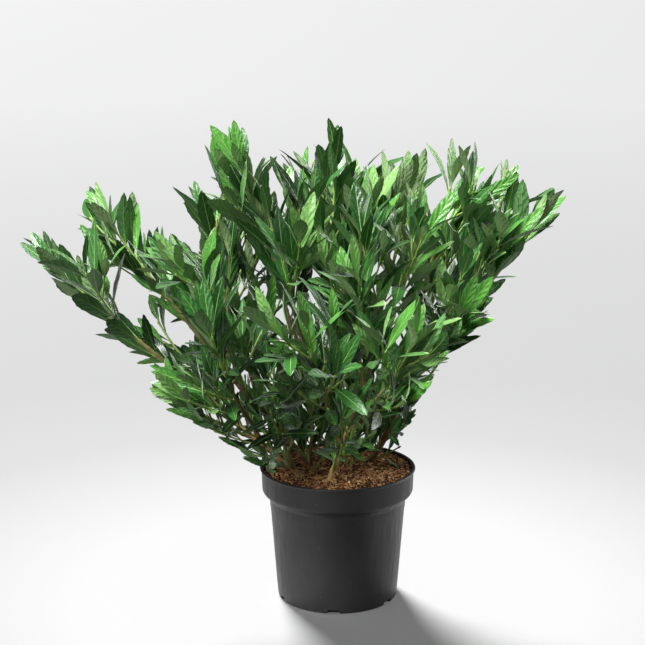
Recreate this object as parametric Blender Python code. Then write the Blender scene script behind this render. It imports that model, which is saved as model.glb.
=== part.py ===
"""A narrow-leaved cherry laurel in a black nursery pot, built as the real plant grows.

A few canes rise from the soil and fork into boughs, and each bough ends in a mass of leafy shoots.
Metres, +Z up. The origin is the middle of the pot's flat underside. +X is the right of the plant as it
is usually shown and +Y is its back. Every object is one closed solid. Canes, shoots and leaves follow
one growth rule with seeded draws, so the shape is the same each run.
"""

import itertools
import math
import random
from collections import namedtuple

import bmesh
import bpy
from mathutils import Matrix, Vector
from mathutils.bvhtree import BVHTree
from mathutils.kdtree import KDTree

# Pot, a 22 cm nursery container
POT_HEIGHT = 0.190
LIP_RADIUS = 0.110
LIP_HEIGHT = 0.004
BAND_RADIUS = 0.1066
BAND_FOOT_RADIUS = 0.1048
BAND_HEIGHT = 0.037
SHOULDER_RADIUS = 0.0952
SHOULDER_DROP = 0.005
FOOT_RADIUS = 0.085
FOOT_BEVEL = 0.003
WALL = 0.0022
POT_SIDES = 36
NOTCH_COUNT = 6
NOTCH_WIDTH = 0.018
NOTCH_HEIGHT = 0.006
NOTCH_INSET = 0.011
NOTCH_BEARING = -94.0

# Soil
SOIL_LEVEL = 0.181
CLEARANCE = 0.0003
SOIL_EDGE = 0.003

# Canes and boughs. They waver a little, taper to their tips, and canes flare where they meet the soil.
LIMB_SIDES = 6
LIMB_STEP = 0.034
LINE_STEP = 0.005
TIP_RADIUS = 0.0014
TAPER = 0.85
FORK_TAPER = 0.72
FLARE = 0.40
FLARE_HEIGHT = 0.010
WAVER = 0.012

# A bough's solid begins this near the middle of the limb it forks off, or nearer, found in small steps
FORK_REACH = 0.060
FORK_STEP = 0.00005

# Side shoots: where they leave the leader, how far they spread from it, and how far they run
GOLDEN_TURN = math.radians(137.5)
SHOOT_SIDES = 3
SHOOT_STEP = 0.070
SHOOT_RADIUS = 0.0019
SHOOT_FIRST = 0.10
SHOOT_LAST = 0.80
SHOOT_SPREAD = math.radians(42)
SHOOT_LIFT = 0.28
SHOOT_SHARE = 0.62
SHOOT_LEAST = 0.050

# Leaves, a little larger and fewer than on the real plant
LEAF_LENGTH = 0.082
LEAF_WIDTH = 0.0270
LEAF_THICK = 0.0014
LEAF_ARCH = 0.0035
STALK_WIDTH = 0.0020
LEAF_PITCH = 0.0345
LEAF_FIRST = 0.012
LEAF_SPREAD_LOW = math.radians(58)
LEAF_SPREAD_HIGH = math.radians(24)
LEAF_NECK = 0.008
LEAF_CLEAR = 0.0004
LEAVES_AT_TIP = 2
LEAF_TIP_GAP = 0.003

# A shoot or leaf that finds no room is turned about its root, then made smaller, before it is left out
NUDGES = tuple(math.radians(a) for a in (0, 45, -45, 90, -90, 150))
SHRINKS = (1.0, 0.78)
SPACE_MARGIN = 0.002

# One cane or bough. grows_from is "soil" or another cane's name, and start is then the foot's place on
# the soil, or how far along that cane it forks off. tip is where its leader ends, bow is how much it
# sags below a straight line, as a share of its length, girth is its radius at the start, bare is the
# share of it that carries no leaves, shoots is how many side shoots its foliage has, and turn is the
# bearing of the first one, in degrees.
Cane = namedtuple("Cane", "name grows_from start tip bow girth bare shoots turn")

CANES = (
    Cane("left", "soil", (-0.046, -0.038), (-0.388, 0.000, 0.472), 0.00, 0.0052, 0.36, 4, 60),
    Cane("left_low", "left", 0.20, (-0.218, -0.060, 0.306), 0.07, 0.0028, 0.00, 4, 150),
    Cane("skirt_left", "left", 0.08, (-0.110, -0.075, 0.222), 0.04, 0.0022, 0.00, 2, 90),
    Cane("left_back", "left", 0.25, (-0.265, 0.085, 0.390), 0.05, 0.0030, 0.00, 4, 20),
    Cane("front_left", "left", 0.16, (-0.165, -0.165, 0.415), 0.06, 0.0034, 0.18, 4, 30),
    Cane("sprig_left", "left", 0.04, (-0.095, -0.100, 0.350), 0.06, 0.0026, 0.00, 4, 0),
    Cane("left_mid", "soil", (-0.030, 0.004), (-0.316, 0.035, 0.530), 0.03, 0.0058, 0.38, 4, 120),
    Cane("left_inner", "left_mid", 0.32, (-0.190, -0.055, 0.530), 0.06, 0.0034, 0.16, 4, 150),
    Cane("left_high", "left_mid", 0.25, (-0.198, 0.080, 0.590), 0.05, 0.0042, 0.28, 3, 40),
    Cane("back_left", "left_mid", 0.13, (-0.175, 0.205, 0.490), 0.07, 0.0040, 0.30, 4, 80),
    Cane("left_core", "left_mid", 0.14, (-0.120, -0.050, 0.430), 0.06, 0.0028, 0.00, 4, 250),
    Cane("centre", "soil", (-0.004, 0.034), (-0.004, 0.060, 0.600), 0.03, 0.0060, 0.34, 4, 10),
    Cane("centre_left", "centre", 0.18, (-0.098, 0.000, 0.568), 0.06, 0.0040, 0.30, 4, 100),
    Cane("centre_back", "centre", 0.11, (-0.128, 0.095, 0.600), 0.06, 0.0042, 0.36, 4, 300),
    Cane("centre_in", "centre", 0.28, (0.046, 0.000, 0.560), 0.06, 0.0034, 0.20, 4, 200),
    Cane("back", "centre", 0.24, (-0.010, 0.225, 0.530), 0.07, 0.0040, 0.28, 4, 60),
    Cane("back_low", "centre", 0.07, (-0.060, 0.160, 0.360), 0.07, 0.0028, 0.00, 4, 10),
    Cane("front", "soil", (-0.014, -0.058), (0.108, -0.060, 0.535), 0.00, 0.0052, 0.24, 4, 20),
    Cane("front_mid", "front", 0.15, (-0.040, -0.180, 0.430), 0.06, 0.0034, 0.22, 4, 70),
    Cane("front_right", "front", 0.20, (0.098, -0.165, 0.410), 0.06, 0.0034, 0.16, 4, 160),
    Cane("front_low", "front", 0.05, (0.030, -0.110, 0.300), 0.06, 0.0026, 0.00, 3, 120),
    Cane("sprig_mid", "soil", (-0.036, -0.016), (-0.038, -0.080, 0.350), 0.03, 0.0028, 0.10, 4, 90),
    Cane("sprig_right", "soil", (0.016, -0.010), (0.044, -0.040, 0.380), 0.03, 0.0028, 0.14, 5, 200),
    Cane("centre_right", "soil", (0.014, 0.060), (0.096, 0.105, 0.550), 0.02, 0.0046, 0.40, 4, 70),
    Cane("right", "soil", (0.042, 0.034), (0.082, 0.024, 0.312), 0.20, 0.0068, 1.00, 0, 0),
    Cane("right_high", "right", 1.00, (0.156, 0.040, 0.580), 0.03, 0.0044, 0.12, 4, 70),
    Cane("right_up", "right", 0.62, (0.228, 0.070, 0.550), 0.03, 0.0042, 0.22, 4, 30),
    Cane("right_out", "right", 0.86, (0.262, -0.005, 0.525), 0.02, 0.0040, 0.22, 4, 200),
    Cane("right_front", "right", 0.60, (0.162, -0.095, 0.480), 0.05, 0.0034, 0.16, 4, 240),
    Cane("right_low", "right", 0.50, (0.158, -0.030, 0.380), 0.04, 0.0028, 0.00, 4, 140),
    Cane("right_under", "right", 0.30, (0.112, -0.040, 0.280), 0.05, 0.0026, 0.00, 3, 200),
    Cane("right_back", "right", 0.30, (0.150, 0.165, 0.465), 0.06, 0.0040, 0.28, 4, 20),
    Cane("skirt_right", "right", 0.16, (0.092, 0.068, 0.255), 0.06, 0.0022, 0.00, 1, 250),
)

# The crown's outline: height, and how far it reaches from its middle to the left, right, front and back.
# CROWN_POWER squares its plan a little, where 2 would be round.
CROWN_POWER = 2.4
CROWN = (
    (0.18, 0.14, 0.10, 0.12, 0.11),
    (0.22, 0.18, 0.12, 0.16, 0.14),
    (0.30, 0.265, 0.155, 0.22, 0.20),
    (0.40, 0.350, 0.210, 0.27, 0.26),
    (0.50, 0.455, 0.270, 0.28, 0.29),
    (0.55, 0.420, 0.325, 0.26, 0.30),
    (0.60, 0.310, 0.320, 0.20, 0.26),
    (0.65, 0.245, 0.205, 0.14, 0.20),
    (0.68, 0.170, 0.110, 0.08, 0.14),
)


class Line:
    """A smooth line through space, walked by distance along it."""

    def __init__(self, points):
        self.points = [Vector(p) for p in points]
        self.marks = [0.0]
        for a, b in zip(self.points, self.points[1:]):
            self.marks.append(self.marks[-1] + (b - a).length)
        self.length = self.marks[-1]

    def at(self, distance):
        """The point this far along."""
        distance = min(max(distance, 0.0), self.length)
        for i in range(len(self.points) - 1):
            if distance <= self.marks[i + 1]:
                share = (distance - self.marks[i]) / (self.marks[i + 1] - self.marks[i])
                return self.points[i].lerp(self.points[i + 1], share)
        return self.points[-1].copy()

    def heading(self, distance):
        """The direction of growth this far along."""
        return (self.at(distance + LINE_STEP) - self.at(distance - LINE_STEP)).normalized()

    def steps(self, first, last, step):
        """Evenly spaced distances from one to another."""
        count = max(1, round((last - first) / step))
        return [first + (last - first) * i / count for i in range(count + 1)]


def bowed_line(start, tip, bow, draw=None):
    """A line from start to tip that sags by bow in its upright plane and wavers a little if draw is given."""
    chord = tip - start
    side = Vector((0, 0, 1)).cross(chord)
    if side.length < 1e-6:
        side = Vector((1, 0, 0))
    side.normalize()
    down = side.cross(chord).normalized()
    if down.z > 0:
        down.negate()
    middle = (start + tip) / 2 + down * bow * chord.length
    count = max(4, round(chord.length / LINE_STEP))
    phase = draw.uniform(0, 2 * math.pi) if draw else 0.0
    sway = WAVER * chord.length if draw else 0.0
    points = []
    for i in range(count + 1):
        t = i / count
        point = start * (1 - t) ** 2 + middle * 2 * t * (1 - t) + tip * t * t
        swing = math.sin(math.pi * t) * sway
        point += side * swing * math.sin(3.5 * math.pi * t + phase)
        points.append(point)
    return Line(points)


def radius_along(cane, share):
    """A cane's radius at this share of its length. One that ends in a fork stays thick to its end."""
    if cane.bare == 1:
        return cane.girth * (1 - (1 - FORK_TAPER) * share)
    return TIP_RADIUS + (cane.girth - TIP_RADIUS) * max(0.0, 1 - share) ** TAPER


def across(direction, turn):
    """A unit vector square to direction, at this turn about it. Turn 0 is the most upward one."""
    up = Vector((0, 0, 1)) - direction * direction.z
    if up.length < 1e-3:
        up = Vector((1, 0, 0)) - direction * direction.x
    up.normalize()
    return up * math.cos(turn) + direction.cross(up) * math.sin(turn)


def in_crown(point):
    """Whether a point lies inside the crown's outline."""
    for low, high in zip(CROWN, CROWN[1:]):
        if low[0] <= point.z <= high[0]:
            share = (point.z - low[0]) / (high[0] - low[0])
            left, right, front, back = (a + (b - a) * share for a, b in zip(low[1:], high[1:]))
            wide = point.x / (right if point.x > 0 else left)
            deep = point.y / (back if point.y > 0 else front)
            return abs(wide) ** CROWN_POWER + abs(deep) ** CROWN_POWER <= 1
    return False


def tube_ring(line, distance, radius, sides, normal=None):
    """The corners of a tube's ring. normal is where its first corner lies, or nearly so."""
    ahead = line.heading(distance)
    normal = normal or across(ahead, 0.0)
    normal = (normal - ahead * normal.dot(ahead)).normalized()
    other = ahead.cross(normal)
    angles = [2 * math.pi * k / sides for k in range(sides)]
    return [line.at(distance) + (normal * math.cos(a) + other * math.sin(a)) * radius for a in angles]


def tube_mesh(name, line, distances, radii, sides, level_foot=False):
    """A closed tapering tube along a line, with a ring at each distance. level_foot cuts the first level."""
    mesh = bmesh.new()
    normal = None
    rings = []
    for distance, radius in zip(distances, radii):
        middle = line.at(distance)
        ring = tube_ring(line, distance, radius, sides, normal)
        normal = ring[0] - middle
        if level_foot and not rings:
            ahead = line.heading(distance)
            ring = [p - ahead * ((p.z - middle.z) / ahead.z) for p in ring]
        rings.append([mesh.verts.new(p) for p in ring])
    for low, high in zip(rings, rings[1:]):
        for k in range(sides):
            n = (k + 1) % sides
            mesh.faces.new((low[k], low[n], high[n], high[k]))
    mesh.faces.new(list(reversed(rings[0])))
    mesh.faces.new(rings[-1])
    bmesh.ops.recalc_face_normals(mesh, faces=mesh.faces)
    data = bpy.data.meshes.new(name)
    mesh.to_mesh(data)
    mesh.free()
    return data


def material(name, colour, roughness):
    """A Principled material with the part's plain colour."""
    made = bpy.data.materials.new(name)
    made.use_nodes = True
    shader = made.node_tree.nodes["Principled BSDF"]
    shader.inputs["Base Color"].default_value = (*colour, 1.0)
    shader.inputs["Roughness"].default_value = roughness
    return made


def add_object(name, data, finish, smooth=False):
    """Links a mesh into the scene under its node's name."""
    made = bpy.data.objects.new(name, data)
    bpy.context.scene.collection.objects.link(made)
    data.materials.clear()
    data.materials.append(finish)
    if smooth:
        data.shade_smooth()
        data.set_sharp_from_angle(angle=math.radians(35))
    return made


def turned_mesh(name, profile, sides):
    """A closed solid of revolution about Z, from a profile up the outside and back to the axis."""
    mesh = bmesh.new()
    rings = []
    for radius, height in profile:
        if radius == 0:
            rings.append([mesh.verts.new((0, 0, height))])
            continue
        angles = (2 * math.pi * k / sides for k in range(sides))
        rings.append([mesh.verts.new((radius * math.cos(a), radius * math.sin(a), height)) for a in angles])
    for low, high in zip(rings, rings[1:]):
        for k in range(sides):
            n = (k + 1) % sides
            if len(low) == 1:
                mesh.faces.new((low[0], high[n], high[k]))
            elif len(high) == 1:
                mesh.faces.new((low[k], low[n], high[0]))
            else:
                mesh.faces.new((low[k], low[n], high[n], high[k]))
    bmesh.ops.recalc_face_normals(mesh, faces=mesh.faces)
    data = bpy.data.meshes.new(name)
    mesh.to_mesh(data)
    mesh.free()
    return data


def pot_profile():
    """The pot's wall from the middle of the underside, up the outside and down the inside."""
    band_foot = POT_HEIGHT - BAND_HEIGHT
    shoulder = band_foot - SHOULDER_DROP
    return (
        (0, 0),
        (FOOT_RADIUS - FOOT_BEVEL, 0),
        (FOOT_RADIUS, FOOT_BEVEL),
        (SHOULDER_RADIUS, shoulder),
        (BAND_FOOT_RADIUS, band_foot),
        (BAND_RADIUS, POT_HEIGHT - LIP_HEIGHT),
        (LIP_RADIUS, POT_HEIGHT - LIP_HEIGHT / 2),
        (LIP_RADIUS - FOOT_BEVEL / 3, POT_HEIGHT),
        (BAND_RADIUS - WALL, POT_HEIGHT),
        (BAND_FOOT_RADIUS - WALL, band_foot + WALL),
        (SHOULDER_RADIUS - WALL, shoulder + WALL),
        (FOOT_RADIUS - WALL, WALL),
        (0, WALL),
    )


def inner_radius(height):
    """The radius of the pot's inner wall at this height."""
    inner = [(r, z) for r, z in pot_profile()[8:12]]
    inner.reverse()
    for (r0, z0), (r1, z1) in zip(inner, inner[1:]):
        if height <= z1:
            return r0 + (r1 - r0) * (height - z0) / (z1 - z0)
    return inner[-1][0]


def build_pot(finish):
    """The pot, with its drainage notches cut through the foot."""
    pot = add_object("pot", turned_mesh("pot", pot_profile(), POT_SIDES), finish, smooth=True)
    for i in range(NOTCH_COUNT):
        bearing = math.radians(NOTCH_BEARING + 360 * i / NOTCH_COUNT)
        reach = FOOT_RADIUS - NOTCH_INSET / 2 + FOOT_BEVEL
        place = Matrix.Rotation(bearing, 4, "Z") @ Matrix.Translation((reach, 0, 0))
        size = Matrix.Diagonal((NOTCH_INSET + FOOT_BEVEL, NOTCH_WIDTH, 2 * NOTCH_HEIGHT, 1))
        block = bmesh.new()
        bmesh.ops.create_cube(block, size=1.0, matrix=place @ size)
        data = bpy.data.meshes.new(f"notch_{i}")
        block.to_mesh(data)
        block.free()
        cutter = bpy.data.objects.new(f"notch_{i}", data)
        bpy.context.scene.collection.objects.link(cutter)
        cutter.hide_render = True
        cutter.display_type = "WIRE"
        cut = pot.modifiers.new(f"notch_{i}", "BOOLEAN")
        cut.object = cutter
        cut.operation = "DIFFERENCE"
    return pot


def build_soil(finish):
    """The potting soil, which fills the pot up to its level and stays clear of the wall."""
    inner = [
        (inner_radius(h) - CLEARANCE, h)
        for h in (WALL + CLEARANCE, pot_profile()[10][1], pot_profile()[9][1], SOIL_LEVEL - SOIL_EDGE)
    ]
    rim = inner_radius(SOIL_LEVEL) - CLEARANCE - SOIL_EDGE
    profile = [(0, inner[0][1]), *inner, (rim, SOIL_LEVEL), (0, SOIL_LEVEL)]
    return add_object("soil", turned_mesh("soil", profile, POT_SIDES), finish)


def cane_lines():
    """The line of every cane, by its name, from the soil or from the middle of the cane it forks off."""
    lines = {}
    for cane in CANES:
        if cane.grows_from == "soil":
            start = Vector((*cane.start, SOIL_LEVEL + CLEARANCE))
        else:
            parent = lines[cane.grows_from]
            start = parent.at(cane.start * parent.length)
        lines[cane.name] = bowed_line(start, Vector(cane.tip), cane.bow, random.Random(cane.name))
    return lines


def fork_distance(line, girth, sides, parent):
    """How far along a cane's line its solid begins, to stand just clear of the solid it forks off."""
    distance = FORK_REACH
    while distance > 0:
        middle = line.at(distance - FORK_STEP)
        ring = tube_ring(line, distance - FORK_STEP, girth, sides)
        edges = list(zip(ring, ring[1:] + ring[:1]))
        rim = [a.lerp(b, i / 4) for a, b in edges for i in range(4)]
        disc = [p.lerp(middle, t) for p in rim for t in (0.0, 0.5, 1.0)]
        if min(parent.find_nearest(p)[3] for p in disc) < CLEARANCE:
            break
        distance -= FORK_STEP
    return distance


def build_limbs(lines, finish):
    """The bare part of each cane as one tapering solid, and how far along its line each cane begins."""
    limbs = []
    trees = {}
    begins = {}
    for cane in CANES:
        line = lines[cane.name]
        rooted = cane.grows_from == "soil"
        sides = LIMB_SIDES if cane.bare else SHOOT_SIDES
        begins[cane.name] = 0.0
        if not rooted:
            begins[cane.name] = fork_distance(line, cane.girth, sides, trees[cane.grows_from])
        if cane.bare == 0:
            continue
        distances = line.steps(begins[cane.name], line.length * cane.bare, LIMB_STEP)
        if rooted:
            distances.insert(1, FLARE_HEIGHT)
        radii = [radius_along(cane, d / line.length) for d in distances]
        if rooted:
            radii[0] *= 1 + FLARE
            radii[1] *= 1 + FLARE / 4
        name = ("stem_" if rooted else "bough_") + cane.name
        data = tube_mesh(name, line, distances, radii, LIMB_SIDES, level_foot=rooted)
        limbs.append(add_object(name, data, finish, smooth=True))
        trees[cane.name] = tree_of(data)
    return limbs, begins


def tree_of(data, matrix=None):
    """A search tree of a mesh's faces, for overlap tests."""
    corners = [matrix @ v.co if matrix else v.co.copy() for v in data.vertices]
    return BVHTree.FromPolygons(corners, [tuple(p.vertices) for p in data.polygons])


def evaluated_tree(made):
    """A search tree of an object as its modifiers leave it."""
    graph = bpy.context.evaluated_depsgraph_get()
    data = made.evaluated_get(graph).to_mesh()
    tree = tree_of(data)
    made.evaluated_get(graph).to_mesh_clear()
    return tree


class Shoot:
    """One twig of a mass of foliage: the line that its leaves root in, and its solid."""

    def __init__(self, line, first, radii):
        distances = line.steps(first, line.length, SHOOT_STEP)
        last = len(distances) - 1
        thick = [radii[0] + (radii[1] - radii[0]) * i / last for i in range(last + 1)]
        self.line = Line([line.at(d) for d in distances])
        self.mesh = tube_mesh("shoot", line, distances, thick, SHOOT_SIDES)
        self.tree = tree_of(self.mesh)


def side_shoot(leader, share, turn, reach):
    """A shoot that leaves the leader at this share of it, towards this turn about it."""
    root = leader.at(leader.length * share)
    heading = leader.heading(leader.length * share)
    outward = heading * math.cos(SHOOT_SPREAD) + across(heading, turn) * math.sin(SHOOT_SPREAD)
    outward = (outward + Vector((0, 0, SHOOT_LIFT))).normalized()
    return Shoot(bowed_line(root, root + outward * reach, 0.06), 0.0, (SHOOT_RADIUS, TIP_RADIUS))


def leaf_outline(size):
    """A leaf's nine corners in its own axes: along its length, across it, and up from its face.

    They are the root, three along the left edge, the tip, three along the right edge, and the keel that
    runs under the midrib.
    """
    long = LEAF_LENGTH * size
    wide = LEAF_WIDTH * size
    arch = LEAF_ARCH * size
    return (
        (0, 0, 0),
        (0.11 * long, STALK_WIDTH / 2, arch * 0.4),
        (0.34 * long, wide / 2, arch),
        (0.68 * long, wide * 0.36, arch * 0.7),
        (long, 0, -arch),
        (0.68 * long, -wide * 0.36, arch * 0.7),
        (0.34 * long, -wide / 2, arch),
        (0.11 * long, -STALK_WIDTH / 2, arch * 0.4),
        (0.42 * long, 0, arch - LEAF_THICK),
    )


LEAF_TOP = ((0, 7, 1), (1, 7, 6), (1, 6, 2), (2, 6, 5), (2, 5, 3), (3, 5, 4))
LEAF_FACES = LEAF_TOP + tuple((i, (i + 1) % 8, 8) for i in range(8))
LEAF_EDGE = (2, 4, 6)


def leaf_spots(line, first, draw):
    """Where the leaves of one shoot grow, winding up it, with a few that close its tip.

    Each is its root, the shoot's heading there, the leaf's turn about it and angle away from it, its
    twist and its size.
    """
    found = []
    turn = draw.uniform(0, 2 * math.pi)
    for distance in line.steps(first, line.length - LEAF_PITCH / 2, LEAF_PITCH):
        share = distance / line.length
        spread = LEAF_SPREAD_LOW + (LEAF_SPREAD_HIGH - LEAF_SPREAD_LOW) * share
        spread += draw.uniform(-0.12, 0.12)
        size = (0.80 + 0.34 * math.sin(math.pi * (0.15 + 0.72 * share))) * draw.uniform(0.90, 1.08)
        twist = draw.uniform(-0.35, 0.35)
        found.append((line.at(distance), line.heading(distance), turn, spread, twist, size))
        turn += GOLDEN_TURN
    for i in range(LEAVES_AT_TIP):
        distance = line.length - LEAF_TIP_GAP * (i + 0.5)
        spread = draw.uniform(0.24, 0.40)
        size = draw.uniform(0.80, 0.96)
        found.append((line.at(distance), line.heading(distance), turn, spread, 0.0, size))
        turn += 2 * math.pi / LEAVES_AT_TIP
    return found


def leaf_place(root, heading, turn, spread, twist):
    """The placing of a leaf that turns its face towards its shoot's tip."""
    out = across(heading, turn)
    along = heading * math.cos(spread) + out * math.sin(spread)
    up = heading * math.sin(spread) - out * math.cos(spread)
    side = up.cross(along)
    side, up = side * math.cos(twist) + up * math.sin(twist), up * math.cos(twist) - side * math.sin(twist)
    place = Matrix((along, side, up)).transposed().to_4x4()
    place.translation = root
    return place


def blade_tree(place, size):
    """A search tree of the blade past its root, grown by the clearance that it keeps."""
    corners = []
    for x, y, z in leaf_outline(size):
        grown = y + math.copysign(LEAF_CLEAR, y) if y else 0.0
        corners.append(place @ Vector((max(x, LEAF_NECK * size), grown, z + LEAF_CLEAR)))
    corners[8] -= place.to_3x3() @ Vector((0, 0, 2 * LEAF_CLEAR))
    return BVHTree.FromPolygons(corners, LEAF_FACES)


class Spaces:
    """Which mass of foliage owns each place in the crown: the one whose shoots run nearest."""

    def __init__(self, lines_of):
        """lines_of holds the lines of each mass's shoots, by its name."""
        places = {}
        for name, lines in lines_of.items():
            places[name] = [line.at(d) for line in lines for d in line.steps(0, line.length, 2 * LINE_STEP)]
        self.own = {}
        self.others = {}
        for name, points in places.items():
            rest = [point for other in places if other != name for point in places[other]]
            self.own[name] = self.tree(points)
            self.others[name] = self.tree(rest)

    @staticmethod
    def tree(points):
        """A search tree of points."""
        made = KDTree(len(points))
        for i, point in enumerate(points):
            made.insert(point, i)
        made.balance()
        return made

    def holds(self, name, points):
        """Whether all these points lie in the crown and in this mass's own space."""
        own = self.own[name]
        others = self.others[name]
        return all(in_crown(p) and own.find(p)[2] + SPACE_MARGIN < others.find(p)[2] for p in points)


def grow_shoots(lines, begins, obstacles):
    """Every mass's shoots by its name, the leader first: each keeps to the space round its leader."""
    grown = {}
    for cane in CANES:
        if cane.bare < 1:
            line = lines[cane.name]
            first = max(begins[cane.name], line.length * cane.bare + CLEARANCE)
            radii = (radius_along(cane, first / line.length), TIP_RADIUS)
            grown[cane.name] = [Shoot(line, first, radii)]
    spaces = Spaces({name: [shoots[0].line] for name, shoots in grown.items()})
    for cane in CANES:
        draw = random.Random(cane.name + " shoots")
        for i in range(cane.shoots):
            leader = grown[cane.name][0].line
            share = SHOOT_FIRST + (SHOOT_LAST - SHOOT_FIRST) * (i + 0.5) / cane.shoots
            turn = math.radians(cane.turn) + i * GOLDEN_TURN + draw.uniform(-0.3, 0.3)
            reach = leader.length * SHOOT_SHARE * (1 - 0.5 * share) * draw.uniform(0.85, 1.1)
            reach = max(SHOOT_LEAST, reach)
            others = obstacles + [other.tree for other in grown[cane.name][1:]]
            for shrink, nudge in itertools.product(SHRINKS, NUDGES):
                shoot = side_shoot(leader, share, turn + nudge, reach * shrink)
                fits = spaces.holds(cane.name, shoot.line.points[1:])
                if fits and not touches(shoot.tree, others):
                    grown[cane.name].append(shoot)
                    break
    return grown


def touches(tree, others):
    """Whether a tree's faces cross those of any of the others."""
    return any(tree.overlap(other) for other in others)


def grow_leaves(cane, shoots, spaces, obstacles):
    """The corners of every leaf that one mass of foliage has room for."""
    draw = random.Random(cane.name + " leaves")
    corners = []
    blades = []
    for index, shoot in enumerate(shoots):
        others = obstacles + [other.tree for other in shoots if other is not shoot]
        begin = LEAF_FIRST if index == 0 else 2 * LEAF_FIRST
        for root, heading, turn, spread, twist, size in leaf_spots(shoot.line, begin, draw):
            for shrink, nudge in itertools.product(SHRINKS, NUDGES):
                place = leaf_place(root, heading, turn + nudge, spread, twist)
                leaf = [place @ Vector(c) for c in leaf_outline(size * shrink)]
                tree = blade_tree(place, size * shrink)
                fits = spaces.holds(cane.name, [leaf[i] for i in LEAF_EDGE])
                if fits and not touches(tree, others + blades):
                    corners.append(leaf)
                    blades.append(tree)
                    break
    return corners


def build_foliage(cane, shoots, leaves, finish):
    """One mass of foliage: its shoots and their leaves, joined into one solid."""
    made = add_object("foliage_" + cane.name, shoots[0].mesh, finish)
    pieces = [shoot.mesh for shoot in shoots[1:]]
    for corners in leaves:
        data = bpy.data.meshes.new("leaf")
        data.from_pydata(corners, [], LEAF_FACES)
        pieces.append(data)
    join_all(made, pieces)
    keep_one_body(made.data)


def join_all(base, pieces):
    """Unites a mesh with many others by one Boolean, and applies it."""
    group = bpy.data.collections.new("joining")
    bpy.context.scene.collection.children.link(group)
    for data in pieces:
        group.objects.link(bpy.data.objects.new("joining", data))
    union = base.modifiers.new("union", "BOOLEAN")
    union.operation = "UNION"
    union.operand_type = "COLLECTION"
    union.collection = group
    bpy.context.view_layer.update()
    graph = bpy.context.evaluated_depsgraph_get()
    joined = bpy.data.meshes.new_from_object(base.evaluated_get(graph))
    base.modifiers.clear()
    finish = base.data.materials[0]
    base.data = joined
    joined.materials.clear()
    joined.materials.append(finish)
    for made in list(group.objects):
        bpy.data.objects.remove(made)
    bpy.data.collections.remove(group)


def keep_one_body(data):
    """Keeps the largest closed shell. What goes is a scrap, or the inner wall of a sealed hollow."""
    mesh = bmesh.new()
    mesh.from_mesh(data)
    left = set(mesh.verts)
    shells = []
    while left:
        shell = {left.pop()}
        edge_of_shell = set(shell)
        while edge_of_shell:
            near = {e.other_vert(v) for v in edge_of_shell for e in v.link_edges}
            edge_of_shell = near - shell
            shell |= near
        left -= shell
        shells.append(shell)
    shells.sort(key=len)
    for shell in shells[:-1]:
        bmesh.ops.delete(mesh, geom=list(shell), context="VERTS")
    mesh.to_mesh(data)
    mesh.free()


def main():
    """Builds the plant and its pot from an empty scene."""
    for made in list(bpy.data.objects):
        bpy.data.objects.remove(made)
    plant = bpy.data.objects.new("potted_laurel", None)
    bpy.context.scene.collection.objects.link(plant)
    plastic = material("black moulded polypropylene", (0.018, 0.018, 0.019), 0.45)
    peat = material("peat potting soil", (0.060, 0.033, 0.018), 0.95)
    bark = material("young laurel bark", (0.180, 0.110, 0.055), 0.70)
    leaf = material("laurel leaf", (0.050, 0.130, 0.030), 0.35)
    pot = build_pot(plastic)
    soil = build_soil(peat)
    lines = cane_lines()
    limbs, begins = build_limbs(lines, bark)
    bpy.context.view_layer.update()
    obstacles = [evaluated_tree(made) for made in [pot, soil, *limbs]]
    shoots = grow_shoots(lines, begins, obstacles)
    spaces = Spaces({name: [shoot.line for shoot in grown] for name, grown in shoots.items()})
    count = 0
    for cane in CANES:
        if cane.bare < 1:
            leaves = grow_leaves(cane, shoots[cane.name], spaces, obstacles)
            build_foliage(cane, shoots[cane.name], leaves, leaf)
            count += len(leaves)
    for made in bpy.context.scene.collection.objects:
        if made is not plant:
            made.parent = plant
    print(f"{count} leaves")


main()
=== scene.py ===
"""The looks of a potted cherry laurel: bark, twigs, leaves, soil and pot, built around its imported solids.

Laid out as a Blender add-on. Metres, +Z up, in the frame of the solids. The crown grows by the rule of the
solids' own source: the same canes, boughs and side shoots, carried on here to finer twigs and full foliage.
"""

import itertools
import math
import random
from collections import namedtuple

import bpy
import numpy as np
from bpy.props import FloatProperty, FloatVectorProperty, IntProperty, PointerProperty
from mathutils import Matrix, Vector, noise
from mathutils.bvhtree import BVHTree
from mathutils.kdtree import KDTree


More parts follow.
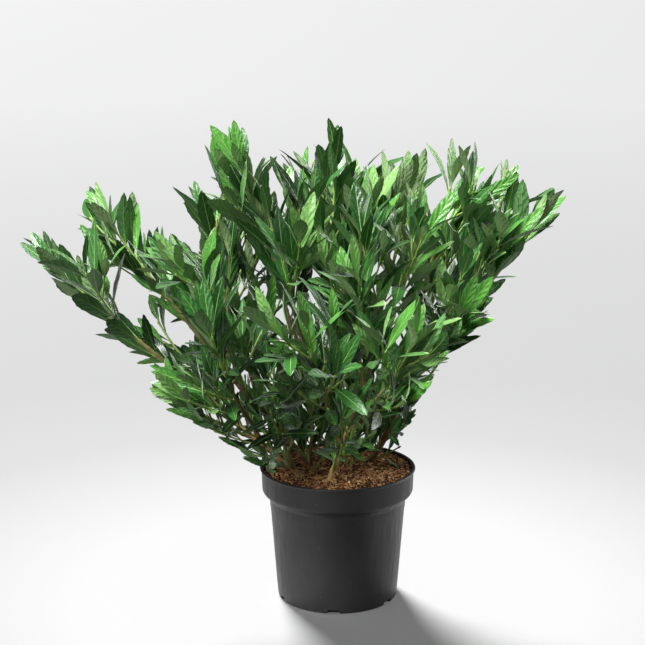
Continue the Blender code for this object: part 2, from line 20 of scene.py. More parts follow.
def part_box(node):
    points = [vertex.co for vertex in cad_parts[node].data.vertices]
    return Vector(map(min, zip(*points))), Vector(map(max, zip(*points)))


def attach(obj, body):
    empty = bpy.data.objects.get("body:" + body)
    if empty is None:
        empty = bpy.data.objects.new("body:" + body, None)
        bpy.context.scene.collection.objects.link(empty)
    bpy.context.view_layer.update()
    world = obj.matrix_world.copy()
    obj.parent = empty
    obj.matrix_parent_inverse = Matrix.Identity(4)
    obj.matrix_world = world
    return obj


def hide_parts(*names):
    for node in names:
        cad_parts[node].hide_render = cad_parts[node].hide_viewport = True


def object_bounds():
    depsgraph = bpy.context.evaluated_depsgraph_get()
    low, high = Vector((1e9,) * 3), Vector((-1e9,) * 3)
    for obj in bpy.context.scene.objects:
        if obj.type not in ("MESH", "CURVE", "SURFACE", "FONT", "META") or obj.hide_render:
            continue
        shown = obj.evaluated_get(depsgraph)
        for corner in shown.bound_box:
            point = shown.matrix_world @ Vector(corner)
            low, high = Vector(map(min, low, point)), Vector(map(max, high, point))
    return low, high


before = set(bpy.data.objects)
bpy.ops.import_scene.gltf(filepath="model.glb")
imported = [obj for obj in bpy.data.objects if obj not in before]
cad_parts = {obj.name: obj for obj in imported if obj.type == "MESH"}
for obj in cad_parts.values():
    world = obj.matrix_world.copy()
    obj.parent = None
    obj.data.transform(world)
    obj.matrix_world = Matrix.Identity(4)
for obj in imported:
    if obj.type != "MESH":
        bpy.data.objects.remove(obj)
CAD_LOW, CAD_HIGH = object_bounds()

bl_info = {
    "name": "Potted cherry laurel",
    "version": (1, 0, 0),
    "blender": (4, 5, 0),
    "location": "3D View > Sidebar > Laurel",
    "description": "Builds a cherry laurel in its nursery pot, with bark, twigs, leaves and soil",
    "category": "Add Mesh",
}

MM = 0.001
BODY = "root"
CAMERA_PLACE = (-0.0214, -2.4, 0.969)
POT_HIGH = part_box("pot")[1]
SOIL_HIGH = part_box("soil")[1]

# Canes and boughs, by the rule of the solids
LINE_STEP = 5 * MM
TIP_RADIUS = 1.25 * MM
TAPER = 0.85
FORK_TAPER = 0.72
FLARE = 0.30
WAVER = 0.012
GOLDEN_TURN = math.radians(137.5)
SHOOT_FIRST = 0.10
SHOOT_LAST = 0.80
SHOOT_SPREAD = math.radians(42)
SHOOT_LIFT = 0.28
SHOOT_SHARE = 0.62
SHOOT_LEAST = 50 * MM
SHOOT_RADII = (1.7 * MM, TIP_RADIUS)
SHOOT_SAG = 0.06
LEADER, SIDE, TWIG = range(3)
AGE_ON_BARE = 0.9
AGE_OF_LEADER = 0.6
AGE_OF_SIDE = 0.45
AGE_OF_SPUR = 0.3
AGE_OF_TWIG = 0.15
NUDGES = tuple(math.radians(a) for a in (0, 45, -45, 90, -90, 150))
SHRINKS = (1.0, 0.78)
SPACE_MARGIN = 2 * MM
TIP_ROOM = 34 * MM
LEADER_LEAST = 60 * MM
CLEARANCE = 0.3 * MM

# Finer twigs, which fork off the side shoots and off the leaders between them
TWIG_RADII = (1.2 * MM, 0.9 * TIP_RADIUS)
TWIG_EVERY = 105 * MM
TWIG_FIRST = 0.20
TWIG_LAST = 0.72
TWIG_REACH = 0.48
TWIG_LEAST = 36 * MM
TWIG_SPREAD = math.radians(34)

# Short twigs low on the canes: how far along its cane each stands, its turn about it, and its reach
SPUR_SPREAD = math.radians(38)
SPURS = {
    "left": (
        (0.07, 20, 0.060), (0.12, 320, 0.080), (0.17, 200, 0.070), (0.20, 10, 0.090), (0.25, 330, 0.075),
        (0.31, 100, 0.070), (0.14, 90, 0.055), (0.04, 150, 0.045), (0.05, 300, 0.050), (0.09, 200, 0.060),
    ),
    "left_mid": (
        (0.06, 90, 0.055), (0.10, 160, 0.055), (0.16, 120, 0.065), (0.20, 300, 0.070), (0.30, 80, 0.080),
        (0.03, 60, 0.050), (0.08, 20, 0.060), (0.13, 45, 0.060), (0.05, 300, 0.050),
    ),
    "centre": (
        (0.03, 170, 0.050), (0.05, 225, 0.055), (0.05, 60, 0.060), (0.07, 150, 0.060), (0.09, 100, 0.060),
        (0.12, 190, 0.065), (0.22, 240, 0.070), (0.30, 20, 0.070), (0.02, 300, 0.050), (0.04, 100, 0.050),
    ),
    "centre_right": (
        (0.03, 200, 0.050), (0.05, 330, 0.050), (0.06, 90, 0.060), (0.10, 30, 0.060), (0.12, 130, 0.060),
        (0.08, 225, 0.060), (0.14, 270, 0.065), (0.20, 180, 0.065), (0.27, 60, 0.070), (0.02, 60, 0.050),
        (0.04, 270, 0.050),
    ),
    "right": (
        (0.08, 330, 0.050), (0.12, 90, 0.055), (0.24, 60, 0.060), (0.20, 315, 0.055), (0.52, 330, 0.060),
        (0.76, 150, 0.070), (0.05, 180, 0.050),
    ),
    "front": (
        (0.08, 100, 0.040), (0.20, 280, 0.060), (0.04, 90, 0.040), (0.05, 270, 0.045), (0.13, 210, 0.050),
        (0.16, 60, 0.050),
    ),
    "sprig_right": ((0.07, 200, 0.045), (0.04, 90, 0.045), (0.10, 330, 0.045), (0.16, 240, 0.050)),
    "sprig_mid": ((0.04, 270, 0.045), (0.10, 60, 0.045), (0.16, 315, 0.050)),
    "front_left": ((0.10, 120, 0.055),),
    "front_mid": ((0.14, 240, 0.055),),
    "front_right": ((0.10, 60, 0.055),),
}

# Stretches of wood that the leaves leave in view from the front: whose, and up to which share of it
SHOWN_WOOD = (("left", 0.08), ("front", 0.28), ("right", 0.45), ("sprig_mid", 0.10), ("sprig_right", 0.10))
SHOWN_ROOM = 4.5 * MM

# Leaves along a shoot
LEAF_FIRST = 12 * MM
LEAF_SPREAD_LOW = math.radians(54)
LEAF_SPREAD_HIGH = math.radians(28)
LEAVES_AT_TIP = (2, 2, 3)
LEAF_TIP_GAP = 3 * MM
LEAF_TO_LIGHT = 0.60
LEAF_CLEAR = 7.5 * MM
LEAF_SPARE = 4.4 * MM
LEAF_DROOP = -0.28
LEAF_MARKS = (0.30, 0.45, 0.60, 0.75, 0.98)
SMALL_LEAF = 0.62
SMALL_BELOW = 0.22
LARGE_ABOVE = 0.42
LEAF_NUDGES = tuple(math.radians(a) for a in (0, 22, -22, 45, -45, 75, -75))
LEAF_OUTSIDE = 6 * MM
LEAF_ON_TWIG = 0.86
NODE_SWELL = 0.28
NODE_REACH = 1.6 * MM

# The crown as it shows from the front, on the upright plane through the pot's axis: the tips of its sprays
# and the notches between them, and the open places inside it, each as its middle, half its length and
# width, and its lean in degrees
OUTLINE = (
    (-0.110, 0.180), (-0.145, 0.215), (-0.205, 0.255), (-0.265, 0.290), (-0.260, 0.315), (-0.330, 0.380),
    (-0.350, 0.410), (-0.410, 0.475), (-0.440, 0.500), (-0.435, 0.525), (-0.400, 0.535), (-0.375, 0.505),
    (-0.365, 0.575), (-0.330, 0.605), (-0.290, 0.605), (-0.240, 0.535), (-0.220, 0.600), (-0.180, 0.620),
    (-0.170, 0.675), (-0.135, 0.685), (-0.115, 0.605), (-0.100, 0.645), (-0.085, 0.630), (-0.065, 0.670),
    (0.005, 0.685), (0.015, 0.625), (0.050, 0.650), (0.070, 0.635), (0.155, 0.660), (0.190, 0.655),
    (0.200, 0.615), (0.235, 0.640), (0.260, 0.580), (0.320, 0.595), (0.315, 0.555), (0.240, 0.480),
    (0.245, 0.460), (0.200, 0.430), (0.225, 0.410), (0.160, 0.360), (0.155, 0.325), (0.110, 0.290),
    (0.110, 0.260), (0.080, 0.230), (0.110, 0.180),
)
SKY = (
    (-0.230, 0.555, 0.060, 0.022, 135), (-0.285, 0.430, 0.028, 0.019, 60), (-0.370, 0.515, 0.028, 0.016, 145),
    (0.145, 0.585, 0.040, 0.011, 45), (-0.220, 0.385, 0.019, 0.016, 55), (-0.085, 0.590, 0.026, 0.008, 105),
    (-0.180, 0.590, 0.022, 0.008, 150), (-0.255, 0.395, 0.018, 0.010, 135),
)

# The crown's reach: each height, and how far it goes there to the left, right, front and back
CROWN_POWER = 2.4
CROWN = (
    (0.18, 0.14, 0.10, 0.12, 0.11),
    (0.22, 0.18, 0.12, 0.16, 0.14),
    (0.30, 0.265, 0.155, 0.22, 0.20),
    (0.40, 0.350, 0.210, 0.27, 0.26),
    (0.50, 0.455, 0.270, 0.28, 0.29),
    (0.55, 0.420, 0.325, 0.26, 0.30),
    (0.60, 0.310, 0.320, 0.20, 0.26),
    (0.65, 0.245, 0.205, 0.14, 0.20),
    (0.68, 0.170, 0.110, 0.08, 0.14),
)

# The canes and boughs of the solids: what each grows from and where, its tip, its sag, its radius at the
# foot, the share of it that is bare, how many side shoots it has, and the bearing of the first one
Cane = namedtuple("Cane", "name grows_from start tip bow girth bare shoots turn")
CANES = (
    Cane("left", "soil", (-0.046, -0.038), (-0.388, 0.000, 0.472), 0.00, 0.0052, 0.36, 4, 60),
    Cane("left_low", "left", 0.20, (-0.218, -0.060, 0.306), 0.07, 0.0028, 0.00, 4, 150),
    Cane("skirt_left", "left", 0.08, (-0.110, -0.075, 0.222), 0.04, 0.0022, 0.00, 2, 90),
    Cane("left_back", "left", 0.25, (-0.265, 0.085, 0.390), 0.05, 0.0030, 0.00, 4, 20),
    Cane("front_left", "left", 0.16, (-0.165, -0.165, 0.415), 0.06, 0.0034, 0.18, 4, 30),
    Cane("sprig_left", "left", 0.04, (-0.095, -0.100, 0.350), 0.06, 0.0026, 0.00, 4, 0),
    Cane("left_mid", "soil", (-0.030, 0.004), (-0.316, 0.035, 0.530), 0.03, 0.0058, 0.38, 4, 120),
    Cane("left_inner", "left_mid", 0.32, (-0.190, -0.055, 0.530), 0.06, 0.0034, 0.16, 4, 150),
    Cane("left_high", "left_mid", 0.25, (-0.198, 0.080, 0.590), 0.05, 0.0042, 0.28, 3, 40),
    Cane("back_left", "left_mid", 0.13, (-0.175, 0.205, 0.490), 0.07, 0.0040, 0.30, 4, 80),
    Cane("left_core", "left_mid", 0.14, (-0.120, -0.050, 0.430), 0.06, 0.0028, 0.00, 4, 250),
    Cane("centre", "soil", (-0.004, 0.034), (-0.004, 0.060, 0.600), 0.03, 0.0060, 0.34, 4, 10),
    Cane("centre_left", "centre", 0.18, (-0.098, 0.000, 0.568), 0.06, 0.0040, 0.30, 4, 100),
    Cane("centre_back", "centre", 0.11, (-0.128, 0.095, 0.600), 0.06, 0.0042, 0.36, 4, 300),
    Cane("centre_in", "centre", 0.28, (0.046, 0.000, 0.560), 0.06, 0.0034, 0.20, 4, 200),
    Cane("back", "centre", 0.24, (-0.010, 0.225, 0.530), 0.07, 0.0040, 0.28, 4, 60),
    Cane("back_low", "centre", 0.07, (-0.060, 0.160, 0.360), 0.07, 0.0028, 0.00, 4, 10),
    Cane("front", "soil", (-0.014, -0.058), (0.108, -0.060, 0.535), 0.00, 0.0052, 0.24, 4, 20),
    Cane("front_mid", "front", 0.15, (-0.040, -0.180, 0.430), 0.06, 0.0034, 0.22, 4, 70),
    Cane("front_right", "front", 0.20, (0.098, -0.165, 0.410), 0.06, 0.0034, 0.16, 4, 160),
    Cane("front_low", "front", 0.05, (0.030, -0.110, 0.300), 0.06, 0.0026, 0.00, 3, 120),
    Cane("sprig_mid", "soil", (-0.036, -0.016), (-0.038, -0.080, 0.350), 0.03, 0.0028, 0.10, 4, 90),
    Cane("sprig_right", "soil", (0.016, -0.010), (0.044, -0.040, 0.380), 0.03, 0.0028, 0.14, 5, 200),
    Cane("centre_right", "soil", (0.014, 0.060), (0.096, 0.105, 0.550), 0.02, 0.0046, 0.40, 4, 70),
    Cane("right", "soil", (0.042, 0.034), (0.082, 0.024, 0.312), 0.20, 0.0068, 1.00, 0, 0),
    Cane("right_high", "right", 1.00, (0.156, 0.040, 0.580), 0.03, 0.0044, 0.12, 4, 70),
    Cane("right_up", "right", 0.62, (0.228, 0.070, 0.550), 0.03, 0.0042, 0.22, 4, 30),
    Cane("right_out", "right", 0.86, (0.262, -0.005, 0.525), 0.02, 0.0040, 0.22, 4, 200),
    Cane("right_front", "right", 0.60, (0.162, -0.095, 0.480), 0.05, 0.0034, 0.16, 4, 240),
    Cane("right_low", "right", 0.50, (0.158, -0.030, 0.380), 0.04, 0.0028, 0.00, 4, 140),
    Cane("right_under", "right", 0.30, (0.112, -0.040, 0.280), 0.05, 0.0026, 0.00, 3, 200),
    Cane("right_back", "right", 0.30, (0.150, 0.165, 0.465), 0.06, 0.0040, 0.28, 4, 20),
    Cane("skirt_right", "right", 0.16, (0.092, 0.068, 0.255), 0.06, 0.0022, 0.00, 1, 250),
)


def linear(code):
    """An sRGB hex colour as linear red, green and blue."""
    channels = (int(code[i:i + 2], 16) / 255 for i in (1, 3, 5))
    return tuple(c / 12.92 if c <= 0.04045 else ((c + 0.055) / 1.055) ** 2.4 for c in channels)


def node(tree, kind, inputs=(), **settings):
    """Adds a shader node, with its settings, and fills or links its inputs."""
    made = tree.nodes.new(kind)
    for name, value in settings.items():
        setattr(made, name, value)
    for socket, value in dict(inputs).items():
        if isinstance(value, bpy.types.NodeSocket):
            tree.links.new(value, made.inputs[socket])
        else:
            made.inputs[socket].default_value = value
    return made


def new_material(name, roughness, ior, colour=(1, 1, 1), more=()):
    """A material with its Principled shader and node tree. more holds further inputs of the shader."""
    made = bpy.data.materials.new(name)
    made.use_nodes = True
    shader = made.node_tree.nodes["Principled BSDF"]
    inputs = {"Base Color": (*colour, 1.0), "Roughness": roughness, "IOR": ior, **dict(more)}
    for socket, value in inputs.items():
        shader.inputs[socket].default_value = value
    return made, shader, made.node_tree


def local(tree):
    """A piece's own coordinates, in metres."""
    return node(tree, "ShaderNodeTexCoord").outputs["Object"]


def texture(tree, kind, vector, scale, **inputs):
    """A texture over these coordinates: a Voronoi's distance to its nearest point, or another's shade."""
    made = node(tree, "ShaderNodeTex" + kind, {"Vector": vector, "Scale": scale, **inputs})
    return made.outputs["Distance" if kind == "Voronoi" else "Fac"]


def combined(tree, operation, *values):
    """Values put through one step of arithmetic."""
    return node(tree, "ShaderNodeMath", dict(enumerate(values)), operation=operation).outputs[0]


def mapped(tree, value, low, high, to_low, to_high):
    """A value carried over from one range to another."""
    ends = {"From Min": low, "From Max": high, "To Min": to_low, "To Max": to_high}
    return node(tree, "ShaderNodeMapRange", {"Value": value, **ends}).outputs["Result"]


def ramp(tree, factor, stops):
    """A colour ramp over factor, from (place, colour) stops."""
    made = node(tree, "ShaderNodeValToRGB", {"Fac": factor})
    elements = made.color_ramp.elements
    while len(elements) < len(stops):
        elements.new(0.5)
    for element, (place, colour) in zip(elements, stops):
        element.position = place
        element.color = (*colour, 1.0)
    return made.outputs["Color"]


def flecked(tree, flecks, colour, other):
    """A colour that gives way to another where flecks is near 1."""
    inputs = {"Factor": flecks, 6: colour, 7: (*other, 1.0)}
    return node(tree, "ShaderNodeMix", inputs, data_type="RGBA").outputs[2]


def raise_bumps(tree, shader, height, strength, distance):
    """Gives a shader bumps of this height. At full strength they stand out by distance."""
    bump = node(tree, "ShaderNodeBump", {"Height": height, "Strength": strength, "Distance": distance})
    tree.links.new(bump.outputs["Normal"], shader.inputs["Normal"])


def leaf_material(name, colour, roughness, veins, gloss, wax):
    """One green of a laurel leaf: a leathery blade with slanting side veins, waxed above and matt below.

    The wax gives the upper side soft white glints, and the veins, 7 mm apart, break them up.
    """
    made, shader, tree = new_material(name, roughness, 1.45, colour, {
        "Specular IOR Level": gloss,
        "Coat Weight": wax,
        "Coat Roughness": 0.20,
        "Sheen Weight": wax,
        "Sheen Roughness": 0.35,
    })
    uv = node(tree, "ShaderNodeUVMap", uv_map="Leaf").outputs["UV"]
    slant = node(tree, "ShaderNodeMapping", {"Vector": uv, "Scale": (11.0, -3.0, 1.0)}).outputs["Vector"]
    waves = {"Vector": slant, "Scale": 0.32, "Distortion": 1.6, "Detail": 1.0}
    vein = node(tree, "ShaderNodeTexWave", waves, bands_direction="DIAGONAL").outputs["Fac"]
    place = local(tree)
    puckers = texture(tree, "Noise", place, 210.0, Detail=4.0)
    patches = texture(tree, "Noise", place, 55.0, Detail=2.0)
    rough = mapped(tree, patches, 0.0, 1.0, roughness - 0.09, roughness + 0.12)
    tree.links.new(rough, shader.inputs["Roughness"])
    raise_bumps(tree, shader, combined(tree, "MULTIPLY_ADD", vein, 0.45, puckers), veins, 1.3 * MM)
    return made


def shoot_material(settings):
    """Laurel shoots: smooth green skin on this year's growth, which turns to grey-brown bark with age."""
    made, shader, tree = new_material("laurel shoot skin", 0.55, 1.45)
    age = node(tree, "ShaderNodeAttribute", attribute_name="age").outputs["Fac"]
    flecks = texture(tree, "Noise", local(tree), 180.0, Detail=4.0)
    aged = combined(tree, "ADD", age, combined(tree, "MULTIPLY_ADD", flecks, 0.5, -0.25))
    colour = ramp(tree, aged, (
        (0.18, settings.shoot_colour),
        (0.45, settings.turning_colour),
        (0.80, settings.bark_colour),
    ))
    tree.links.new(colour, shader.inputs["Base Color"])
    raise_bumps(tree, shader, flecks, 0.5, 0.3 * MM)
    return made


def bark_material(settings, name, shade, middle, flush):
    """Laurel bark: matt, in shades that wander over 10 to 20 mm, with pale corky pores 1 to 2 mm long.

    The bark is grown. Young wood is olive and tan, older wood dark brown, and fine cracks take the light off.
    """
    made, shader, tree = new_material(name, 0.78, 1.45)
    place = local(tree)
    wander = texture(tree, "Noise", place, 42.0, Detail=5.0)
    colour = ramp(tree, wander, ((0.32, shade), (0.48, middle), (0.62, flush)))
    pores = mapped(tree, texture(tree, "Voronoi", place, 330.0), 0.16, 0.26, 1.0, 0.0)
    cracks = texture(tree, "Noise", place, 420.0, Detail=6.0)
    tree.links.new(flecked(tree, pores, colour, settings.pore_colour), shader.inputs["Base Color"])
    raise_bumps(tree, shader, combined(tree, "ADD", cracks, pores), 0.7, 0.5 * MM)
    return made


def pot_material(settings):
    """Injection-moulded polypropylene, coloured black: satin, a little dusty, with fine upright scuffs.

    The mould leaves a skin that glints broadly, so it reads dark grey, and dust greys it in patches.
    """
    gloss = {"Specular IOR Level": 0.36}
    made, shader, tree = new_material("black moulded polypropylene", 0.42, 1.49, more=gloss)
    place = local(tree)
    dust = texture(tree, "Noise", place, 14.0, Detail=6.0, Roughness=0.7)
    colour = ramp(tree, dust, ((0.35, settings.colour), (0.80, settings.dust_colour)))
    grit = mapped(tree, texture(tree, "Voronoi", place, 95.0), 0.035, 0.055, 0.55, 0.0)
    upright = node(tree, "ShaderNodeMapping", {"Vector": place, "Scale": (1.0, 1.0, 0.06)}).outputs["Vector"]
    scuffs = texture(tree, "Noise", upright, 260.0, Detail=3.0)
    grain = texture(tree, "Noise", place, 1400.0, Detail=1.0)
    tree.links.new(flecked(tree, grit, colour, settings.speck_colour), shader.inputs["Base Color"])
    tree.links.new(mapped(tree, scuffs, 0.3, 0.7, 0.34, 0.56), shader.inputs["Roughness"])
    raise_bumps(tree, shader, combined(tree, "ADD", grain, scuffs), 0.25, 0.15 * MM)
    return made


def soil_material(settings):
    """Peat and composted bark: matt brown crumbs that hold no shine, darker where they are moist."""
    made, shader, tree = new_material("moist peat", 0.95, 1.4)
    crumbs = texture(tree, "Noise", local(tree), 420.0, Detail=8.0, Roughness=0.7)
    colour = ramp(tree, crumbs, ((0.38, settings.dark_colour), (0.66, settings.mid_colour)))
    tree.links.new(colour, shader.inputs["Base Color"])
    raise_bumps(tree, shader, crumbs, 0.9, 1.5 * MM)
    return made


def crumb_material(name, colour):
    """One colour of loose crumb or fibre: dry and matt, with a bump of its own fine grain."""
    made, shader, tree = new_material(name, 0.92, 1.4, colour)
    raise_bumps(tree, shader, texture(tree, "Noise", local(tree), 900.0, Detail=3.0), 0.6, 0.4 * MM)
    return made


class Line:
    """A smooth line through space, walked by distance along it."""

    def __init__(self, points):
        self.points = [Vector(p) for p in points]
        self.marks = [0.0]
        for a, b in zip(self.points, self.points[1:]):
            self.marks.append(self.marks[-1] + (b - a).length)
        self.length = self.marks[-1]

    def at(self, distance):
        """The point this far along."""
        distance = min(max(distance, 0.0), self.length)
        for i in range(len(self.points) - 1):
            if distance <= self.marks[i + 1]:
                share = (distance - self.marks[i]) / (self.marks[i + 1] - self.marks[i])
                return self.points[i].lerp(self.points[i + 1], share)
        return self.points[-1].copy()

    def heading(self, distance):
        """The direction of growth this far along."""
        return (self.at(distance + LINE_STEP) - self.at(distance - LINE_STEP)).normalized()

    def steps(self, first, last, step):
        """Evenly spaced distances from one to another."""
        count = max(1, round((last - first) / step))
        return [first + (last - first) * i / count for i in range(count + 1)]


def bowed_line(start, tip, bow, draw=None):
    """A line from start to tip that sags by bow in its upright plane and wavers a little if draw is given."""
    chord = tip - start
    side = Vector((0, 0, 1)).cross(chord)
    if side.length < 1e-6:
        side = Vector((1, 0, 0))
    side.normalize()
    down = side.cross(chord).normalized()
    if down.z > 0:
        down.negate()
    middle = (start + tip) / 2 + down * bow * chord.length
    count = max(4, round(chord.length / LINE_STEP))
    phase = draw.uniform(0, math.tau) if draw else 0.0
    sway = WAVER * chord.length if draw else 0.0
    points = []
    for i in range(count + 1):
        t = i / count
        point = start * (1 - t) ** 2 + middle * 2 * t * (1 - t) + tip * t * t
        swing = math.sin(math.pi * t) * sway
        point += side * swing * math.sin(3.5 * math.pi * t + phase)
        points.append(point)
    return Line(points)


def radius_along(cane, share):
    """A cane's radius at this share of its length. One that ends in a fork stays thick to its end."""
    if cane.bare == 1:
        return cane.girth * (1 - (1 - FORK_TAPER) * share)
    return TIP_RADIUS + (cane.girth - TIP_RADIUS) * max(0.0, 1 - share) ** TAPER


def across(direction, turn):
    """A unit vector square to direction, at this turn about it. Turn 0 is the most upward one."""
    up = Vector((0, 0, 1)) - direction * direction.z
    if up.length < 1e-3:
        up = Vector((1, 0, 0)) - direction * direction.x
    up.normalize()
    return up * math.cos(turn) + direction.cross(up) * math.sin(turn)


def in_crown(point):
    """Whether a point lies inside the crown's outline."""
    for low, high in zip(CROWN, CROWN[1:]):
        if low[0] <= point.z <= high[0]:
            share = (point.z - low[0]) / (high[0] - low[0])
            left, right, front, back = (a + (b - a) * share for a, b in zip(low[1:], high[1:]))
            wide = point.x / (right if point.x > 0 else left)
            deep = point.y / (back if point.y > 0 else front)
            return abs(wide) ** CROWN_POWER + abs(deep) ** CROWN_POWER <= 1
    return False


def seen_at(point):
    """Where a point shows from the front, on the upright plane through the pot's axis."""
    eye = Vector(CAMERA_PLACE)
    return eye + (point - eye) * (-eye.y / (point.y - eye.y))


def leafy(point):
    """Whether a point shows inside the crown's front outline, and outside the open places in it."""
    seen = seen_at(point)
    inside = False
    for (x0, z0), (x1, z1) in zip(OUTLINE, OUTLINE[1:] + OUTLINE[:1]):
        if (z0 > seen.z) != (z1 > seen.z) and seen.x < x0 + (x1 - x0) * (seen.z - z0) / (z1 - z0):
            inside = not inside
    for x, z, long, wide, lean in SKY:
        c, s = math.cos(math.radians(lean)), math.sin(math.radians(lean))
        dx, dz = seen.x - x, seen.z - z
        if ((dx * c + dz * s) / long) ** 2 + ((dz * c - dx * s) / wide) ** 2 < 1:
            inside = False
    return inside


def cane_lines():
    """The line of every cane, by its name, from the soil or from the middle of the cane it forks off."""
    lines = {}
    for cane in CANES:
        if cane.grows_from == "soil":
            start = Vector((*cane.start, SOIL_HIGH.z + CLEARANCE))
        else:
            parent = lines[cane.grows_from]
            start = parent.at(cane.start * parent.length)
        lines[cane.name] = bowed_line(start, Vector(cane.tip), cane.bow, random.Random(cane.name))
    return lines


class Shoot:
    """One shoot or twig: its line, where its own wood begins on it, its radii, its age and its rank.

    Its rank is LEADER, SIDE or TWIG.
    """

    def __init__(self, line, first, radii, age, rank):
        self.line = line
        self.first = first
        self.radii = radii
        self.age = age
        self.rank = rank
        self.nodes = []

    def radius(self, distance):
        """Its radius this far along, swollen at the nodes where its leaves stand."""
        share = (distance - self.first) / (self.line.length - self.first)
        radius = self.radii[0] + (self.radii[1] - self.radii[0]) * share
        near = min((abs(distance - mark) for mark in self.nodes), default=1.0)
        return radius * (1 + NODE_SWELL * math.exp(-(near / NODE_REACH) ** 2))


class Spaces:
    """Which mass of foliage owns each place in the crown: the one whose shoots run nearest."""

    def __init__(self, lines_of):
        """lines_of holds the lines of each mass's shoots, by its name."""
        places = {}
        for name, lines in lines_of.items():
            places[name] = [line.at(d) for line in lines for d in line.steps(0, line.length, 2 * LINE_STEP)]
        self.own = {}
        self.others = {}
        for name, points in places.items():
            rest = [point for other in places if other != name for point in places[other]]
            self.own[name] = self.tree(points)
            self.others[name] = self.tree(rest)

    @staticmethod
    def tree(points):
        """A search tree of points."""
        made = KDTree(len(points))
        for i, point in enumerate(points):
            made.insert(point, i)
        made.balance()
        return made

    def holds(self, name, points, margin=SPACE_MARGIN):
        """Whether all these points lie in the crown and in this mass's own space."""
        own = self.own[name]
        others = self.others[name]
        return all(in_crown(p) and own.find(p)[2] + margin < others.find(p)[2] for p in points)


def fork_start(cane, lines):
    """How far along its line a cane comes out of the limb it forks off."""
    if cane.grows_from == "soil":
        return 0.0
    parent = next(other for other in CANES if other.name == cane.grows_from)
    return radius_along(parent, cane.start) + cane.girth


def side_shoot(parent, share, turn, reach, spread=SHOOT_SPREAD):
    """The line of a shoot that leaves another at this share of it, towards this turn about it."""
    root = parent.at(parent.length * share)
    heading = parent.heading(parent.length * share)
    outward = heading * math.cos(spread) + across(heading, turn) * math.sin(spread)
    outward = (outward + Vector((0, 0, SHOOT_LIFT))).normalized()
    return bowed_line(root, root + outward * reach, SHOOT_SAG)


def has_room(line):
    """Whether the outer half of a shoot, and the leaves at its tip, would show inside the crown."""
    tip = line.points[-1] + line.heading(line.length) * TIP_ROOM
    return leafy(tip) and all(leafy(point) for point in line.points[len(line.points) // 2:])


def grow_shoots(lines):
    """Every mass's leader and side shoots by its name, as the solids have them."""
    grown = {}
    for cane in CANES:
        if cane.bare < 1:
            line = lines[cane.name]
            first = max(fork_start(cane, lines), line.length * cane.bare)
            last = line.length
            while not leafy(line.at(last) + line.heading(last) * TIP_ROOM) and last > first + LEADER_LEAST:
                last -= LINE_STEP
            leader = Line([line.at(d) for d in line.steps(first, last, LINE_STEP)])
            radii = (radius_along(cane, first / line.length), TIP_RADIUS)
            age = AGE_ON_BARE if cane.bare else AGE_OF_LEADER
            grown[cane.name] = [Shoot(leader, 0.0, radii, age, LEADER)]
    spaces = Spaces({name: [shoots[0].line] for name, shoots in grown.items()})
    for cane in CANES:
        draw = random.Random(cane.name + " shoots")
        for i in range(cane.shoots):
            leader = grown[cane.name][0].line
            share = SHOOT_FIRST + (SHOOT_LAST - SHOOT_FIRST) * (i + 0.5) / cane.shoots
            turn = math.radians(cane.turn) + i * GOLDEN_TURN + draw.uniform(-0.3, 0.3)
            reach = leader.length * SHOOT_SHARE * (1 - 0.5 * share) * draw.uniform(0.85, 1.1)
            reach = max(SHOOT_LEAST, reach)
            for shrink, nudge in itertools.product(SHRINKS, NUDGES):
                line = side_shoot(leader, share, turn + nudge, reach * shrink)
                if spaces.holds(cane.name, line.points[1:]) and has_room(line):
                    grown[cane.name].append(Shoot(line, 0.0, SHOOT_RADII, AGE_OF_SIDE, SIDE))
                    break
    return grown


def grow_spurs(grown, lines):
    """Adds short leafy twigs low on the bare wood of the canes. Each belongs to the foliage above it."""
    for cane in CANES:
        owner = cane.name if cane.name in grown else "right_low"
        for share, turn, reach in SPURS.get(cane.name, ()):
            line = side_shoot(lines[cane.name], share, math.radians(turn), reach, SPUR_SPREAD)
            grown[owner].append(Shoot(line, radius_along(cane, share), TWIG_RADII, AGE_OF_SPUR, TWIG))


def grow_twigs(grown):
    """Adds the finer twigs, each kept to its mass's own space."""
    spaces = Spaces({name: [shoot.line for shoot in shoots] for name, shoots in grown.items()})
    for name, shoots in grown.items():
        draw = random.Random(name + " twigs")
        for parent in list(shoots):
            count = round(parent.line.length / TWIG_EVERY)
            for i in range(count):
                share = TWIG_FIRST + (TWIG_LAST - TWIG_FIRST) * (i + draw.uniform(0.2, 0.8)) / count
                turn = draw.uniform(0, math.tau)
                reach = parent.line.length * TWIG_REACH * draw.uniform(0.7, 1.0) * (1.2 - share)
                for nudge in NUDGES:
                    line = side_shoot(parent.line, share, turn + nudge, max(TWIG_LEAST, reach), TWIG_SPREAD)
                    if spaces.holds(name, line.points[2:], 0.0) and has_room(line):
                        shoots.append(Shoot(line, 0.0, TWIG_RADII, AGE_OF_TWIG, TWIG))
                        break


def leaf_place(root, heading, turn, spread, twist):
    """The placing of a leaf: its face turns towards its shoot's tip, and then some way to the light."""
    out = across(heading, turn)
    along = heading * math.cos(spread) + out * math.sin(spread)
    up = heading * math.sin(spread) - out * math.cos(spread)
    up += (Vector((0, 0, 1)) - along * along.z) * LEAF_TO_LIGHT
    up.normalize()
    side = up.cross(along)
    side, up = side * math.cos(twist) + up * math.sin(twist), up * math.cos(twist) - side * math.sin(twist)
    place = Matrix((along, side, up)).transposed().to_4x4()
    place.translation = root
    return place


